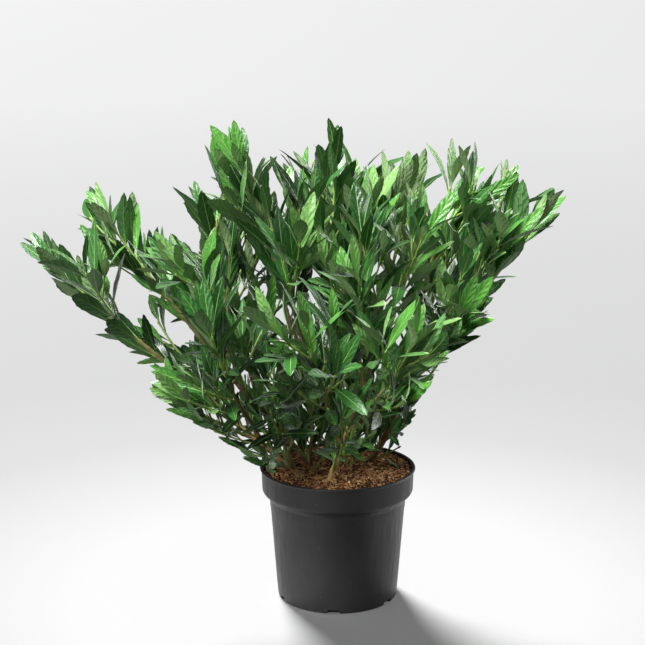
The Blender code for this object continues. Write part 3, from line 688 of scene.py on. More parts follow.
class Crowding:
    """Points of the wood and the leaves so far, in cells, to keep new leaves clear of them."""

    CELL = 12 * MM

    def __init__(self):
        self.cells = {}

    def cell(self, point):
        """The cell that a point lies in."""
        return tuple(math.floor(c / self.CELL) for c in point)

    def add(self, points):
        """Takes in more points."""
        for point in points:
            self.cells.setdefault(self.cell(point), []).append(point)

    def nearest(self, point):
        """The distance to the nearest point, or the cell's size where none is as near."""
        x, y, z = self.cell(point)
        best = self.CELL
        for dx, dy, dz in itertools.product((-1, 0, 1), repeat=3):
            for other in self.cells.get((x + dx, y + dy, z + dz), ()):
                best = min(best, (other - point).length)
        return best


class ShownWood:
    """The stretches of wood that no leaf may hide from the front."""

    def __init__(self, lines):
        self.places = []
        for name, share in SHOWN_WOOD:
            line = lines[name]
            self.places += [line.at(d) for d in line.steps(0.0, share * line.length, LINE_STEP)]
        self.tree = Spaces.tree([seen_at(place) for place in self.places])

    def hidden_by(self, marks):
        """Whether any of these points lies in front of such wood."""
        for mark in marks:
            _, index, apart = self.tree.find(seen_at(mark))
            if apart < SHOWN_ROOM and mark.y < self.places[index].y:
                return True
        return False


class LeafRoom:
    """Finds places for the leaves, one after another, clear of the wood and of the leaves before them."""

    def __init__(self, grown, lines):
        self.spaces = Spaces({name: [shoot.line for shoot in shoots] for name, shoots in grown.items()})
        self.shown = ShownWood(lines)
        self.crowding = Crowding()
        for line in lines.values():
            self.crowding.add(line.points)
        for shoots in grown.values():
            for shoot in shoots:
                self.crowding.add(shoot.line.points[1:])

    def allows(self, name, marks):
        """Whether a leaf keeps to its mass and inside the crown, and leaves the shown wood in view."""
        if not self.spaces.holds(name, marks[2:], -LEAF_OUTSIDE):
            return False
        return all(map(leafy, marks[1:])) and not self.shown.hidden_by(marks)

    def find(self, name, root, heading, turn, spread, twist, length):
        """The place with the most room for a leaf of this mass, which it then takes up, or None."""
        best = None
        most = LEAF_SPARE
        for nudge in LEAF_NUDGES:
            place = leaf_place(root, heading, turn + nudge, spread, twist)
            marks = [place @ Vector((length * t, 0, 0)) for t in LEAF_MARKS]
            if place.col[0].z < LEAF_DROOP or not self.allows(name, marks):
                continue
            room = min(self.crowding.nearest(mark) for mark in marks)
            if room > most:
                best, taken, most = place, marks, room
            if room >= LEAF_CLEAR:
                break
        if best is not None:
            self.crowding.add(taken)
        return best


# A leaf: its placing, its size beside a middling one, its shoot's number, and how far up the shoot it is
Leaf = namedtuple("Leaf", "place size shoot share")


def size_at(height):
    """How large leaves grow at this height: those low on the old wood stay small."""
    rise = min(1.0, max(0.0, (height - SMALL_BELOW) / (LARGE_ABOVE - SMALL_BELOW)))
    return SMALL_LEAF + (1 - SMALL_LEAF) * rise


def size_along(share):
    """How large leaves grow this far up a shoot: the largest stand near its middle."""
    return 0.80 + 0.34 * math.sin(math.pi * (0.15 + 0.72 * share))


def leaf_spots(shoot, pitch, draw):
    """Where the leaves of one shoot grow, winding up it, with a few that close its tip."""
    line = shoot.line
    found = []
    turn = draw.uniform(0, math.tau)
    small = LEAF_ON_TWIG if shoot.rank == TWIG else 1.0
    begin = LEAF_FIRST if shoot.rank == LEADER else 1.5 * LEAF_FIRST
    pitch *= size_at(line.at(line.length / 2).z)
    for distance in line.steps(begin, line.length - pitch / 2, pitch):
        share = distance / line.length
        spread = LEAF_SPREAD_LOW + (LEAF_SPREAD_HIGH - LEAF_SPREAD_LOW) * share + draw.uniform(-0.20, 0.22)
        size = size_along(share) * draw.uniform(0.88, 1.08) * small
        found.append((distance, turn, spread, draw.uniform(-0.5, 0.5), size, share))
        turn += GOLDEN_TURN
    last = draw.choice(LEAVES_AT_TIP)
    for i in range(last):
        size = draw.uniform(0.70, 1.0) * small
        found.append((line.length - LEAF_TIP_GAP * (i + 0.5), turn, draw.uniform(0.22, 0.52), 0.0, size, 1.0))
        turn += math.tau / last
    return found


def grow_leaves(grown, lines, length, pitch):
    """The leaves of every mass by its name. One that finds no room is left out."""
    room = LeafRoom(grown, lines)
    leaves = {}
    for name, shoots in grown.items():
        draw = random.Random(name + " leaves")
        leaves[name] = []
        for index, shoot in enumerate(shoots):
            for distance, turn, spread, twist, size, share in leaf_spots(shoot, pitch, draw):
                root = shoot.line.at(distance)
                heading = shoot.line.heading(distance)
                size *= size_at(root.z)
                place = room.find(name, root, heading, turn, spread, twist, length * size)
                if place is not None:
                    leaves[name].append(Leaf(place, size, index, share))
                    shoot.nodes.append(distance)
    return leaves


class Plant:
    """The grown plant, worked out once and used by the bark, the twigs and the leaves."""

    grown = None

    @classmethod
    def get(cls, settings):
        """The plant for these settings."""
        key = (round(settings.leaf_length, 6), round(settings.leaf_pitch, 6))
        if cls.grown is None or cls.grown.key != key:
            cls.grown = cls(key)
        return cls.grown

    def __init__(self, key):
        self.key = key
        self.lines = cane_lines()
        self.shoots = grow_shoots(self.lines)
        grow_twigs(self.shoots)
        grow_spurs(self.shoots, self.lines)
        self.leaves = grow_leaves(self.shoots, self.lines, *key)


# Leaf mesh: rows of points along the blade, each a ring of eight round the blade's section. Row 0 is the
# stalk's root and row 1 the foot of the blade. A ring holds, from the left edge over the upper face to the
# right edge and back below: edge, middle, rib, rib, middle, edge, keel, keel. Between two rows of the blade
# each edge has one blunt tooth, and the tip is a single point.
LEAF_ROWS = (0.0, 0.085, 0.19, 0.34, 0.50, 0.66, 0.83)
RING = 8
EDGE_LEFT = 0
RIB_LEFT = 2
EDGE_RIGHT = 5
KEEL_RIGHT = 6
STALK_END = LEAF_ROWS[1]
STALK_HALF = 0.85 * MM
RIB_HALF = 0.42 * MM
KEEL_HALF = 0.60 * MM
KEEL_DEEP = 0.70 * MM
MIDDLE_SHARE = 0.56
TOOTH = 0.55 * MM
LEAF_SMOOTH = 70
BLADE_SKEW = 1.12
BLADE_POINT = 0.86


def blade_half(share, half):
    """Half the blade's width at this share of the leaf's length."""
    s = (share - STALK_END) / (1 - STALK_END)
    if s <= 0 or s >= 1:
        return 0.0
    return half * math.sin(math.pi * s ** BLADE_SKEW) ** BLADE_POINT


def leaf_faces():
    """A leaf's faces, and for each whether it is blade above, blade below, rib above or keel and stalk."""
    rows = len(LEAF_ROWS)
    tooth = rows * RING
    tip = tooth + 2 * (rows - 1)
    faces = []
    kinds = []
    for row in range(rows):
        last = row == rows - 1
        left = tooth + 2 * (row - 1)
        right = left + 1
        for k in range(RING):
            n = (k + 1) % RING
            a, b = row * RING + k, row * RING + n
            far = [tip] if last else [b + RING, a + RING]
            face = [a, b, *far]
            if row > 0 and EDGE_LEFT in (k, n):
                face = [a, b, *far, left] if k == EDGE_LEFT else [a, b, left, *far]
            elif row > 0 and EDGE_RIGHT in (k, n):
                face = [a, b, *far, right] if k == EDGE_RIGHT else [a, b, right, *far]
            faces.append(face[::-1])
            if row == 0 or k == KEEL_RIGHT:
                kinds.append("keel")
            elif k == RIB_LEFT:
                kinds.append("rib")
            else:
                kinds.append("above" if k < EDGE_RIGHT else "below")
    faces.append(list(range(RING)))
    kinds.append("keel")
    return faces, kinds


LEAF_FACES, LEAF_KINDS = leaf_faces()


def leaf_points(length, width, draw):
    """One leaf's points and its pattern coordinates: along the blade, and out from the midrib.

    x runs along the leaf, y across it and z up from its face. The blade folds up along its midrib, its
    edges curl back and wave, and it arches and droops, each a little differently from leaf to leaf.
    """
    fold = draw.uniform(0.08, 0.46)
    curl = draw.uniform(0.3, 1.0) * MM
    rise = draw.uniform(0.00, 0.06)
    droop = draw.uniform(-0.05, 0.12)
    sway = draw.uniform(-0.07, 0.07)
    turn = draw.uniform(-0.45, 0.45)
    wave = draw.uniform(0.2, 0.9) * MM
    phase = draw.uniform(0, math.tau)
    waves = draw.uniform(1.2, 2.4)
    half = width / 2

    def section(share, y, lift):
        """A point of the blade's section, with the leaf's arch, sway and turn applied."""
        reach = abs(y) / half
        z = fold * abs(y) * (0.4 + 0.6 * (1 - share)) + lift
        z += wave * reach * math.sin(math.tau * waves * share + phase + (0.9 if y > 0 else 0.0))
        angle = turn * share
        y, z = y * math.cos(angle) - z * math.sin(angle), y * math.sin(angle) + z * math.cos(angle)
        z += length * (rise * math.sin(math.pi * share) - droop * share * share)
        return (share * length, y + length * sway * share * share, z)

    points = []
    coords = []
    for share in LEAF_ROWS:
        edge = max(STALK_HALF, blade_half(share, half))
        rib = min(RIB_HALF * (1.25 - share), 0.5 * edge)
        keel = min(KEEL_HALF * (1.25 - share), 0.5 * edge)
        middle = rib + (edge - rib) * MIDDLE_SHARE
        deep = KEEL_DEEP * (1.25 - share)
        swell = curl * edge / half
        if share <= STALK_END:
            deep = 1.5 * STALK_HALF
            swell = 0.0
        above = ((edge, 0.0), (middle, swell), (rib, -0.10 * MM))
        ring = [(-y, z) for y, z in above] + [(y, z) for y, z in reversed(above)]
        ring += [(keel, -deep), (-keel, -deep)]
        for y, z in ring:
            points.append(section(share, y, z))
            coords.append((share, abs(y) / half))
    for low, high in zip(LEAF_ROWS[1:], LEAF_ROWS[2:] + (1.0,)):
        share = (low + high) / 2
        edge = max(STALK_HALF, blade_half(share, half)) + TOOTH
        for y in (-edge, edge):
            points.append(section(share + 0.012, y, 0.0))
            coords.append((share, 1.0))
    points.append(section(1.0, 0.0, -0.1 * MM))
    coords.append((1.0, 0.0))
    return points, coords


def new_object(name, data):
    """An object that holds this data, linked to the scene."""
    made = bpy.data.objects.new(name, data)
    bpy.context.scene.collection.objects.link(made)
    return made


def mesh_object(name, points, faces, edges=()):
    """A mesh object from points and faces."""
    data = bpy.data.meshes.new(name)
    data.from_pydata([tuple(p) for p in points], edges, faces)
    return new_object(name, data)


def finish_piece(made, finishes, smooth_under, slot, *stands_for):
    """Gives a piece its materials, and smooths it but for edges sharper than smooth_under, in degrees.

    It rides on the plant's one body, in place of the CAD nodes.
    """
    for finish in finishes:
        made.data.materials.append(finish)
    made.data.shade_smooth()
    if smooth_under:
        made.data.set_sharp_from_angle(angle=math.radians(smooth_under))
    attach(made, BODY)
    if stands_for:
        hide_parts(*stands_for)


def select_only(made):
    """Selects one object and makes it active."""
    bpy.ops.object.select_all(action="DESELECT")
    made.select_set(True)
    bpy.context.view_layer.objects.active = made


def apply_modifiers(made):
    """Applies every modifier of an object."""
    select_only(made)
    for modifier in list(made.modifiers):
        bpy.ops.object.modifier_apply(modifier=modifier.name)


def tube(line, distances, radii, sides):
    """The rings of a tube along a line, and its faces with both ends closed."""
    points = []
    normal = None
    for distance, radius in zip(distances, radii):
        middle = line.at(distance)
        ahead = line.heading(distance)
        normal = normal or across(ahead, 0.0)
        normal = (normal - ahead * normal.dot(ahead)).normalized()
        other = ahead.cross(normal)
        for k in range(sides):
            angle = math.tau * k / sides
            points.append(middle + (normal * math.cos(angle) + other * math.sin(angle)) * radius)
    faces = []
    for row in range(len(distances) - 1):
        for k in range(sides):
            n = (k + 1) % sides
            a, b = row * sides + k, row * sides + n
            faces.append((a, b, b + sides, a + sides))
    faces.append(tuple(reversed(range(sides))))
    faces.append(tuple(range((len(distances) - 1) * sides, len(distances) * sides)))
    return points, faces


def join_shapes(shapes):
    """Joins (points, faces) shapes into one list of points and one of faces."""
    points = []
    faces = []
    for some_points, some_faces in shapes:
        shift = len(points)
        points.extend(some_points)
        faces.extend(tuple(i + shift for i in face) for face in some_faces)
    return points, faces


# Bark. Each of its two reliefs has a name, the grain of its clouds and how far they push the surface out.
BARK_STEP = 1.8 * MM
BARK_SIDES = 20
BARK_SLIM = 0.74
BARK_SUNK = 6 * MM
BARK_SMOOTH = 60
BARK_RELIEF = (("bark lumps", 6 * MM, 1.3 * MM), ("bark cracks", 1.4 * MM, 0.45 * MM))
YOUNG_STEMS = (
    "left", "front", "sprig_left", "sprig_mid", "sprig_right", "front_left", "front_mid", "front_right",
)
COLLAR = 0.45
COLLAR_REACH = 6 * MM
FLARE_REACH = 9 * MM
CUT_ROUND = 0.5 * MM
SCAR_COUNT = 39
SCAR_PITCH = 16 * MM
SCAR_SWELL = 0.10
SCAR_REACH = 1.3 * MM


def limb_radius(cane, line, distance, scars):
    """A limb's radius this far along, with its root flare or collar and the scars of old leaves."""
    radius = radius_along(cane, max(0.0, distance) / line.length) * BARK_SLIM
    if cane.grows_from == "soil":
        radius *= 1 + FLARE * math.exp(-max(0.0, distance) / FLARE_REACH)
    else:
        radius *= 1 + COLLAR * math.exp(-distance / COLLAR_REACH)
    near = min(abs(distance - mark) for mark in scars)
    return radius * (1 + SCAR_SWELL * math.exp(-(near / SCAR_REACH) ** 2))


def build_limb(cane, line, finish):
    """The bare wood of one cane as a mesh with its bark's relief."""
    rooted = cane.grows_from == "soil"
    name = ("stem_" if rooted else "bough_") + cane.name
    sunk = BARK_SUNK if rooted else 0.0
    if rooted:
        line = Line([line.at(0.0) - line.heading(0.0) * sunk] + line.points)
    draw = random.Random(cane.name + " bark")
    last = sunk + (line.length - sunk) * cane.bare
    scars = [SCAR_PITCH * (i + draw.uniform(-0.3, 0.3)) for i in range(1, SCAR_COUNT + 1)]
    distances = line.steps(0.0, last, BARK_STEP)
    radii = [limb_radius(cane, line, d - sunk, scars) for d in distances]
    if cane.bare == 1:
        distances += [last + CUT_ROUND]
        radii += [0.5 * radii[-1]]
    made = mesh_object(name + "_bark", *tube(line, distances, radii, BARK_SIDES))
    for label, grain, strength in BARK_RELIEF:
        clouds = bpy.data.textures.get(label) or bpy.data.textures.new(label, "CLOUDS")
        clouds.noise_scale = grain
        push = made.modifiers.new(label, "DISPLACE")
        push.texture = clouds
        push.texture_coords = "LOCAL"
        push.strength = strength
        push.mid_level = 0.5
    apply_modifiers(made)
    finish_piece(made, [finish], BARK_SMOOTH, "bark", name)


# Twigs, and the bud at each tip as the share of its length and of the twig's radius there
TWIG_STEP = 3 * MM
TWIG_SIDES = 8
BUD_LENGTH = 6 * MM
BUD = ((0.15, 1.35), (0.45, 1.45), (0.75, 0.85), (1.0, 0.2))


def shoot_shape(shoot):
    """The tube of one shoot with a pointed bud at its tip, and the age of each of its points."""
    line = shoot.line
    end = line.length
    distances = line.steps(0.0, end - 0.5 * BUD_LENGTH, TWIG_STEP)
    radii = [shoot.radius(d) for d in distances]
    tip = radii[-1]
    ahead = line.heading(end)
    longer = Line(line.points + [line.points[-1] + ahead * BUD_LENGTH])
    for share, swell in BUD:
        distances.append(end - 0.5 * BUD_LENGTH + BUD_LENGTH * share)
        radii.append(tip * swell)
    points, faces = tube(longer, distances, radii, TWIG_SIDES)
    ages = [shoot.age * (1 - min(1.0, d / end)) ** 1.2 for d in distances for _ in range(TWIG_SIDES)]
    return points, faces, ages


def build_twigs(name, shoots, finish):
    """All the shoots of one mass of foliage, joined into one mesh."""
    shapes = [shoot_shape(shoot) for shoot in shoots]
    made = mesh_object("twigs_" + name, *join_shapes([shape[:2] for shape in shapes]))
    ages = made.data.attributes.new("age", "FLOAT", "POINT")
    ages.data.foreach_set("value", [age for shape in shapes for age in shape[2]])
    finish_piece(made, [finish], BARK_SMOOTH, "bark", "foliage_" + name)


# How the greens are dealt: a leaf's tone, from 0 in the heart of the crown to 1 at its tips. Young leaves
# near a shoot's tip are truly paler; the rise with height and with reach out from the middle is painted
# light, darker greens in place of the shade inside the crown
ABOVE_TONES = ("deep", "dark", "mid", "fresh", "young")
ABOVE_EDGES = (0.24, 0.39, 0.57, 0.77)
BELOW_TONES = ("dull", "grey", "pale", "lime")
BELOW_EDGES = (0.32, 0.50, 0.70)
TONE_LOWEST = 0.30
PAINTED_LIGHT_BY_HEIGHT = 0.02
PAINTED_LIGHT_BY_REACH = 0.08
TONE_BY_SHARE = 0.24
TONE_OF_SPRAY = (-0.20, 0.24)
TONE_OF_LEAF = (-0.16, 0.16)
TONE_BELOW = (-0.15, 0.15)
LEAF_NARROW = (0.86, 1.10)


def tone_of(leaf, spray_tone):
    """A leaf's tone, from its spray, how near its shoot's tip it is, and how high and far out it grows.
    Height and reach add painted light: lower and inner leaves get darker greens in place of shade.
    """
    place = leaf.place.translation
    height = (place.z - SOIL_HIGH.z) / (CAD_HIGH.z - SOIL_HIGH.z)
    out = min(1.0, math.hypot(place.x, 1.3 * place.y) / 0.30)
    # Painted light: the tone rises with height and reach, so leaves low and inside the crown get darker
    # greens in place of shade
    tone = TONE_LOWEST + PAINTED_LIGHT_BY_HEIGHT * height + PAINTED_LIGHT_BY_REACH * out
    return tone + TONE_BY_SHARE * leaf.share ** 1.5 + spray_tone


def dealt(tone, names, edges):
    """The name of the colour for this tone."""
    return names[sum(tone > edge for edge in edges)]


def build_leaves(name, leaves, finishes, settings):
    """All the leaves of one mass of foliage, joined into one mesh, each with its spray's green."""
    draw = random.Random(name + " blades")
    slots = list(finishes)
    shapes = []
    indices = []
    coords = []
    sprays = {}
    for leaf in leaves:
        if leaf.shoot not in sprays:
            sprays[leaf.shoot] = draw.uniform(*TONE_OF_SPRAY)
        tone = tone_of(leaf, sprays[leaf.shoot]) + draw.uniform(*TONE_OF_LEAF)
        width = settings.leaf_width * leaf.size * draw.uniform(*LEAF_NARROW)
        points, marks = leaf_points(settings.leaf_length * leaf.size, width, draw)
        shapes.append(([leaf.place @ Vector(p) for p in points], LEAF_FACES))
        coords.extend(marks)
        above = "above " + dealt(tone, ABOVE_TONES, ABOVE_EDGES)
        below = "below " + dealt(tone + draw.uniform(*TONE_BELOW), BELOW_TONES, BELOW_EDGES)
        chosen = {"above": above, "below": below, "rib": "rib", "keel": "keel"}
        indices.extend(slots.index(chosen[kind]) for kind in LEAF_KINDS)
    made = mesh_object("leaves_" + name, *join_shapes(shapes))
    made.data.polygons.foreach_set("material_index", indices)
    corners = np.empty(len(made.data.loops), dtype=np.int32)
    made.data.loops.foreach_get("vertex_index", corners)
    uv = made.data.uv_layers.new(name="Leaf")
    uv.data.foreach_set("uv", np.array(coords, dtype=np.float32)[corners].ravel())
    finish_piece(made, finishes.values(), LEAF_SMOOTH, "leaves", "foliage_" + name)


def tint(name, description, code):
    """A colour setting, from its sRGB hex code."""
    return FloatVectorProperty(name=name, description=description, subtype="COLOR", default=linear(code))


def amount(name, description, default, **kind):
    """A number setting. kind can give its unit or subtype."""
    return FloatProperty(name=name, description=description, default=default, **kind)


def span(name, description, default):
    """A length setting, in metres."""
    return amount(name, description, default, unit="LENGTH")


class PotSettings(bpy.types.PropertyGroup):
    """Sizes and colours of the pot."""

    wall: span("Wall", "Thickness of the wall", 2.2 * MM)
    band: span("Band", "Height of the band below the rim", 30 * MM)
    colour: tint("Plastic", "Clean plastic", "#2f2f30")
    dust_colour: tint("Dust", "Dusty plastic", "#363635")
    speck_colour: tint("Specks", "Specks of grit", "#8d8a86")


class SoilSettings(bpy.types.PropertyGroup):
    """Sizes and colours of the potting soil."""

    crumbs: IntProperty(name="Crumbs", description="How many loose crumbs", default=4800)
    chips: IntProperty(name="Chips", description="How many bark chips", default=240)
    fibres: IntProperty(name="Fibres", description="How many coarse fibres", default=620)
    relief: span("Relief", "Height of the surface's lumps", 8 * MM)
    dark_colour: tint("Moist peat", "Moist peat", "#1f1008")
    mid_colour: tint("Peat", "Drier peat", "#6b4529")
    chip_colour: tint("Bark chips", "Composted bark", "#a9774a")
    fibre_colour: tint("Fibres", "Dry fibres", "#d2aa78")


class WoodSettings(bpy.types.PropertyGroup):
    """Colours of bark and shoots."""

    bark_colour: tint("Bark", "Older bark", "#604631")
    bark_shade: tint("Bark, dark", "Darkest bark", "#3b2c20")
    bark_flush: tint("Bark, flushed", "Orange-tan bark", "#c68d56")
    bark_worn: tint("Bark, worn", "Palest old bark", "#87694a")
    tan_colour: tint("Bark, young", "Tan young bark", "#bd9a64")
    pore_colour: tint("Pores", "Corky pores", "#c4a87e")
    turning_colour: tint("Turning", "Skin that turns to bark", "#8a8550")
    shoot_colour: tint("Young shoot", "Green skin", "#86a24e")


class LeafSettings(bpy.types.PropertyGroup):
    """Sizes and greens of the leaves."""

    leaf_length: span("Length", "Length of a middling leaf with its stalk", 86 * MM)
    leaf_width: span("Width", "Width of a middling leaf", 18.5 * MM)
    leaf_pitch: span("Pitch", "Distance between leaves along a shoot", 17.2 * MM)
    # The greens above and below are dealt by tone: partly the leaf's age, partly painted shade, with the
    # darker greens given to leaves low and deep in the crown
    deep: tint("Deep green", "Old leaves in the heart", "#0a240a")
    dark: tint("Dark green", "Old leaves", "#153b11")
    mid: tint("Mid green", "Grown leaves", "#295c20")
    fresh: tint("Fresh green", "This year's leaves", "#47802f")
    young: tint("Young green", "The youngest leaves", "#6a974f")
    dull: tint("Under, dull", "Oldest undersides", "#365f2b")
    grey: tint("Under, grey", "Undersides in the heart", "#55824a")
    pale: tint("Under, pale", "Undersides", "#86a671")
    lime: tint("Under, lime", "Young undersides", "#97b17e")
    rib: tint("Midrib", "Midrib on the upper face", "#86ad58")
    keel: tint("Keel and stalk", "Midrib below, and stalk", "#9cba66")


class StageSettings(bpy.types.PropertyGroup):
    """The camera, the floor and the lights."""

    lens: amount("Lens", "Focal length, in millimetres", 99.13)
    pitch: amount("Pitch", "How far the camera looks down", math.radians(13.38), subtype="ANGLE")
    floor_power: amount("Floor light", "Strength of the light on the floor", 4.35)
    key_power: amount("Key light", "Strength of the wide key light", 8.2)
    fill_power: amount("Front light", "Power of the front light, in watts", 44.0)
    edge_power: amount("Edge light", "Power of the right-hand light, in watts", 34.0)
    sheen_power: amount("Sheen light", "Power of the overhead light, in watts", 50.0)
    sky: amount("Surround", "Strength of the pale surround", 0.10)
    # Painted light: the paper glows though no lamp stands behind it, which lifts the shadows on it
    painted_floor_glow: amount("Floor glow", "Light that comes through the paper", 0.10)
    # Painted light: these colours grade the paper like a pool of light by the pot that falls off a pace away
    # and brightens again far off
    floor_painted_pool: tint("Floor", "Pale paper by the pot", "#f8f8f8")
    floor_edge: tint("Floor, edge", "Paper an arm's length away", "#d9d9d9")
    floor_round: tint("Floor, round", "Paper a pace away", "#d0d0d0")
    floor_far: tint("Floor, far", "Paper far away", "#dfdfdf")


def arc(centre, radius, start, end, count):
    """Points of an arc in the profile plane, from one angle to another in degrees."""
    angles = [math.radians(start + (end - start) * i / count) for i in range(count + 1)]
    return [(centre[0] + radius * math.cos(a), centre[1] + radius * math.sin(a)) for a in angles]


def spin_profile(name, profile, steps):
    """A closed solid of revolution: the profile is drawn as edges in the XZ plane and spun about Z."""
    edges = [(i, i + 1) for i in range(len(profile) - 1)]
    made = mesh_object(name, [(r, 0.0, z) for r, z in profile], [], edges)
    select_only(made)
    bpy.ops.object.mode_set(mode="EDIT")
    bpy.ops.mesh.select_all(action="SELECT")
    bpy.ops.mesh.spin(steps=steps, angle=math.tau, center=(0, 0, 0), axis=(0, 0, 1))
    bpy.ops.mesh.select_all(action="SELECT")
    bpy.ops.mesh.remove_doubles(threshold=0.02 * MM)
    bpy.ops.mesh.normals_make_consistent(inside=False)
    bpy.ops.object.mode_set(mode="OBJECT")
    return made


# The pot's section and the notches in its foot
POT_STEPS = 160
POT_SMOOTH = 32
FOOT_RADIUS = POT_HIGH.x - 25 * MM
BAND_RADIUS = 106.8 * MM
WALL_TOP_RADIUS = 96.0 * MM
WALL_TOP = 144 * MM
LEDGE_BELOW = 11 * MM
RAISED = 6.5 * MM
NOTCH_COUNT = 6
NOTCH_WIDTH = 18 * MM
NOTCH_HEIGHT = 6 * MM
NOTCH_DEPTH = 14 * MM
NOTCH_CORNER = 2.5 * MM
NOTCH_BEARING = -94.0


def pot_outline(settings):
    """The pot's section, from the middle of its underside, up the outside and down the inside."""
    top = POT_HIGH.z
    lip = POT_HIGH.x
    foot = FOOT_RADIUS
    wall = settings.wall
    band_foot = top - settings.band
    slope = (WALL_TOP_RADIUS - foot) / WALL_TOP

    def wall_at(z):
        """The outer wall's radius at this height."""
        return foot + slope * z

    ledge = WALL_TOP - LEDGE_BELOW
    outer = [(0.0, RAISED), (70 * MM, RAISED), (73 * MM, 0.0)]
    outer += arc((foot - 3 * MM, 3 * MM), 3 * MM, -90, -4, 5)
    outer += [(wall_at(20 * MM), 20 * MM), (wall_at(70 * MM), 70 * MM)]
    outer += [(wall_at(ledge - 1 * MM), ledge - 1 * MM), (wall_at(ledge) + 0.45 * MM, ledge)]
    outer += [(wall_at(WALL_TOP) + 0.3 * MM, WALL_TOP - 1 * MM)]
    outer += [(wall_at(WALL_TOP) + 0.9 * MM, WALL_TOP + 1.0 * MM)]
    outer += arc((BAND_RADIUS - 9 * MM, band_foot), 9 * MM, -62, 0, 7)
    outer += [(BAND_RADIUS + 0.9 * MM, top - 4.2 * MM), (lip - 0.9 * MM, top - 3.6 * MM)]
    outer += arc((lip - 1.6 * MM, top - 1.6 * MM), 1.6 * MM, -40, 90, 7)
    inner = arc((lip - 3.6 * MM, top - 1.2 * MM), 1.2 * MM, 90, 180, 4)
    inner += [(BAND_RADIUS - wall, band_foot), (WALL_TOP_RADIUS - wall, WALL_TOP)]
    inner += [(foot - wall, RAISED + 2 * wall), (0.0, RAISED + wall)]
    return outer + inner


def build_pot(settings, finish):
    """The pot's shell, spun from its section, with drainage notches cut through its foot."""
    made = spin_profile("pot_shell", pot_outline(settings), POT_STEPS)
    cutters = []
    for i in range(NOTCH_COUNT):
        bearing = math.radians(NOTCH_BEARING + 360 * i / NOTCH_COUNT)
        middle = (FOOT_RADIUS * math.cos(bearing), FOOT_RADIUS * math.sin(bearing), 0)
        bpy.ops.object.select_all(action="DESELECT")
        bpy.ops.mesh.primitive_cube_add(size=1, location=middle, rotation=(0, 0, bearing))
        cutter = bpy.context.object
        cutter.scale = (NOTCH_DEPTH, NOTCH_WIDTH, 2 * NOTCH_HEIGHT)
        bpy.ops.object.transform_apply(location=True, rotation=True, scale=True)
        edge = cutter.modifiers.new("round", "BEVEL")
        edge.width = NOTCH_CORNER
        edge.segments = 4
        apply_modifiers(cutter)
        cutters.append(cutter)
    for cutter in cutters:
        cut = made.modifiers.new("notch", "BOOLEAN")
        cut.operation = "DIFFERENCE"
        cut.object = cutter
    apply_modifiers(made)
    for cutter in cutters:
        bpy.data.objects.remove(cutter)
    made.data.materials.clear()
    finish_piece(made, [finish], POT_SMOOTH, "pot", "pot")


# The soil's surface, and the loose bits on it, whose sizes are in millimetres
SOIL_RADIUS = 105.2 * MM
SOIL_RINGS = 76
SOIL_STEPS = 190
SOIL_DEPTH = 16 * MM
SOIL_RISE = 3.5 * MM
MOUND = 4.0 * MM
SWELL = 4.5 * MM
HEAP = 3.0 * MM
CRUMB_SIZES = (1.2, 4.4)
CHIP_SIZES = (4, 10)
FIBRE_LENGTHS = (5, 16)
LITTER_SMOOTH = 40
LITTER_REACH = 0.985
FIBRE_PARTS = 7
FIBRE_REACH = 0.88


def soil_height(x, y):
    """The soil's level: heaped in the middle and to the right, and nearly up to the rim in front."""
    out = math.hypot(x, y) / SOIL_RADIUS
    mound = MOUND * (1 - out * out)
    swell = SWELL * noise.noise(Vector((x * 24, y * 24, 3.1))) * (1 - 0.6 * out)
    heap = HEAP * max(0.0, (0.8 * x - 0.5 * y) / SOIL_RADIUS)
    return SOIL_HIGH.z + SOIL_RISE + mound + swell + heap


def build_soil_bed(settings, finish):
    """The soil's surface: a disc with a skirt, raised in lumps and crumbs, and closed below."""
    profile = [(0.0, 0.0)]
    profile += [(SOIL_RADIUS * (i / SOIL_RINGS) ** 0.8, 0.0) for i in range(1, SOIL_RINGS + 1)]
    profile += [(SOIL_RADIUS - 1.5 * MM, -SOIL_DEPTH), (0.0, -SOIL_DEPTH)]
    made = spin_profile("soil_bed", profile, SOIL_STEPS)
    for vertex in made.data.vertices:
        x, y, z = vertex.co
        if z < -0.5 * SOIL_DEPTH:
            vertex.co.z = SOIL_HIGH.z - SOIL_DEPTH
        else:
            fine = noise.fractal(Vector((x * 190, y * 190, 0.7)), 0.6, 2.1, 5)
            rough = noise.noise(Vector((x * 75, y * 75, 5.3)))
            vertex.co.z = soil_height(x, y) + settings.relief * (0.20 * fine + 0.26 * rough)
    finish_piece(made, [finish], None, "soil", "soil")
    return made


def soil_spot(draw, tree):
    """A place on the soil's surface."""
    out = SOIL_RADIUS * math.sqrt(draw.uniform(0, 1)) * LITTER_REACH
    turn = draw.uniform(0, math.tau)
    above = Vector((out * math.cos(turn), out * math.sin(turn), 1.0))
    return tree.ray_cast(above, Vector((0, 0, -1)))[0]


def any_turn(draw):
    """A random rotation."""
    axis = Vector([draw.gauss(0, 1) for _ in range(3)]).normalized()
    return Matrix.Rotation(draw.uniform(0, math.tau), 3, axis)


def base_shape(kind):
    """A crumb or chip to copy, as points and faces, made from a primitive."""
    bpy.ops.object.select_all(action="DESELECT")
    if kind == "crumb":
        bpy.ops.mesh.primitive_ico_sphere_add(subdivisions=1, radius=0.5)
    else:
        bpy.ops.mesh.primitive_cube_add(size=1)
        bpy.ops.object.mode_set(mode="EDIT")
        bpy.ops.mesh.select_all(action="SELECT")
        bpy.ops.mesh.subdivide(number_cuts=2)
        bpy.ops.object.mode_set(mode="OBJECT")
    base = bpy.context.object
    points = [v.co.copy() for v in base.data.vertices]
    faces = [tuple(p.vertices) for p in base.data.polygons]
    bpy.data.objects.remove(base)
    return points, faces


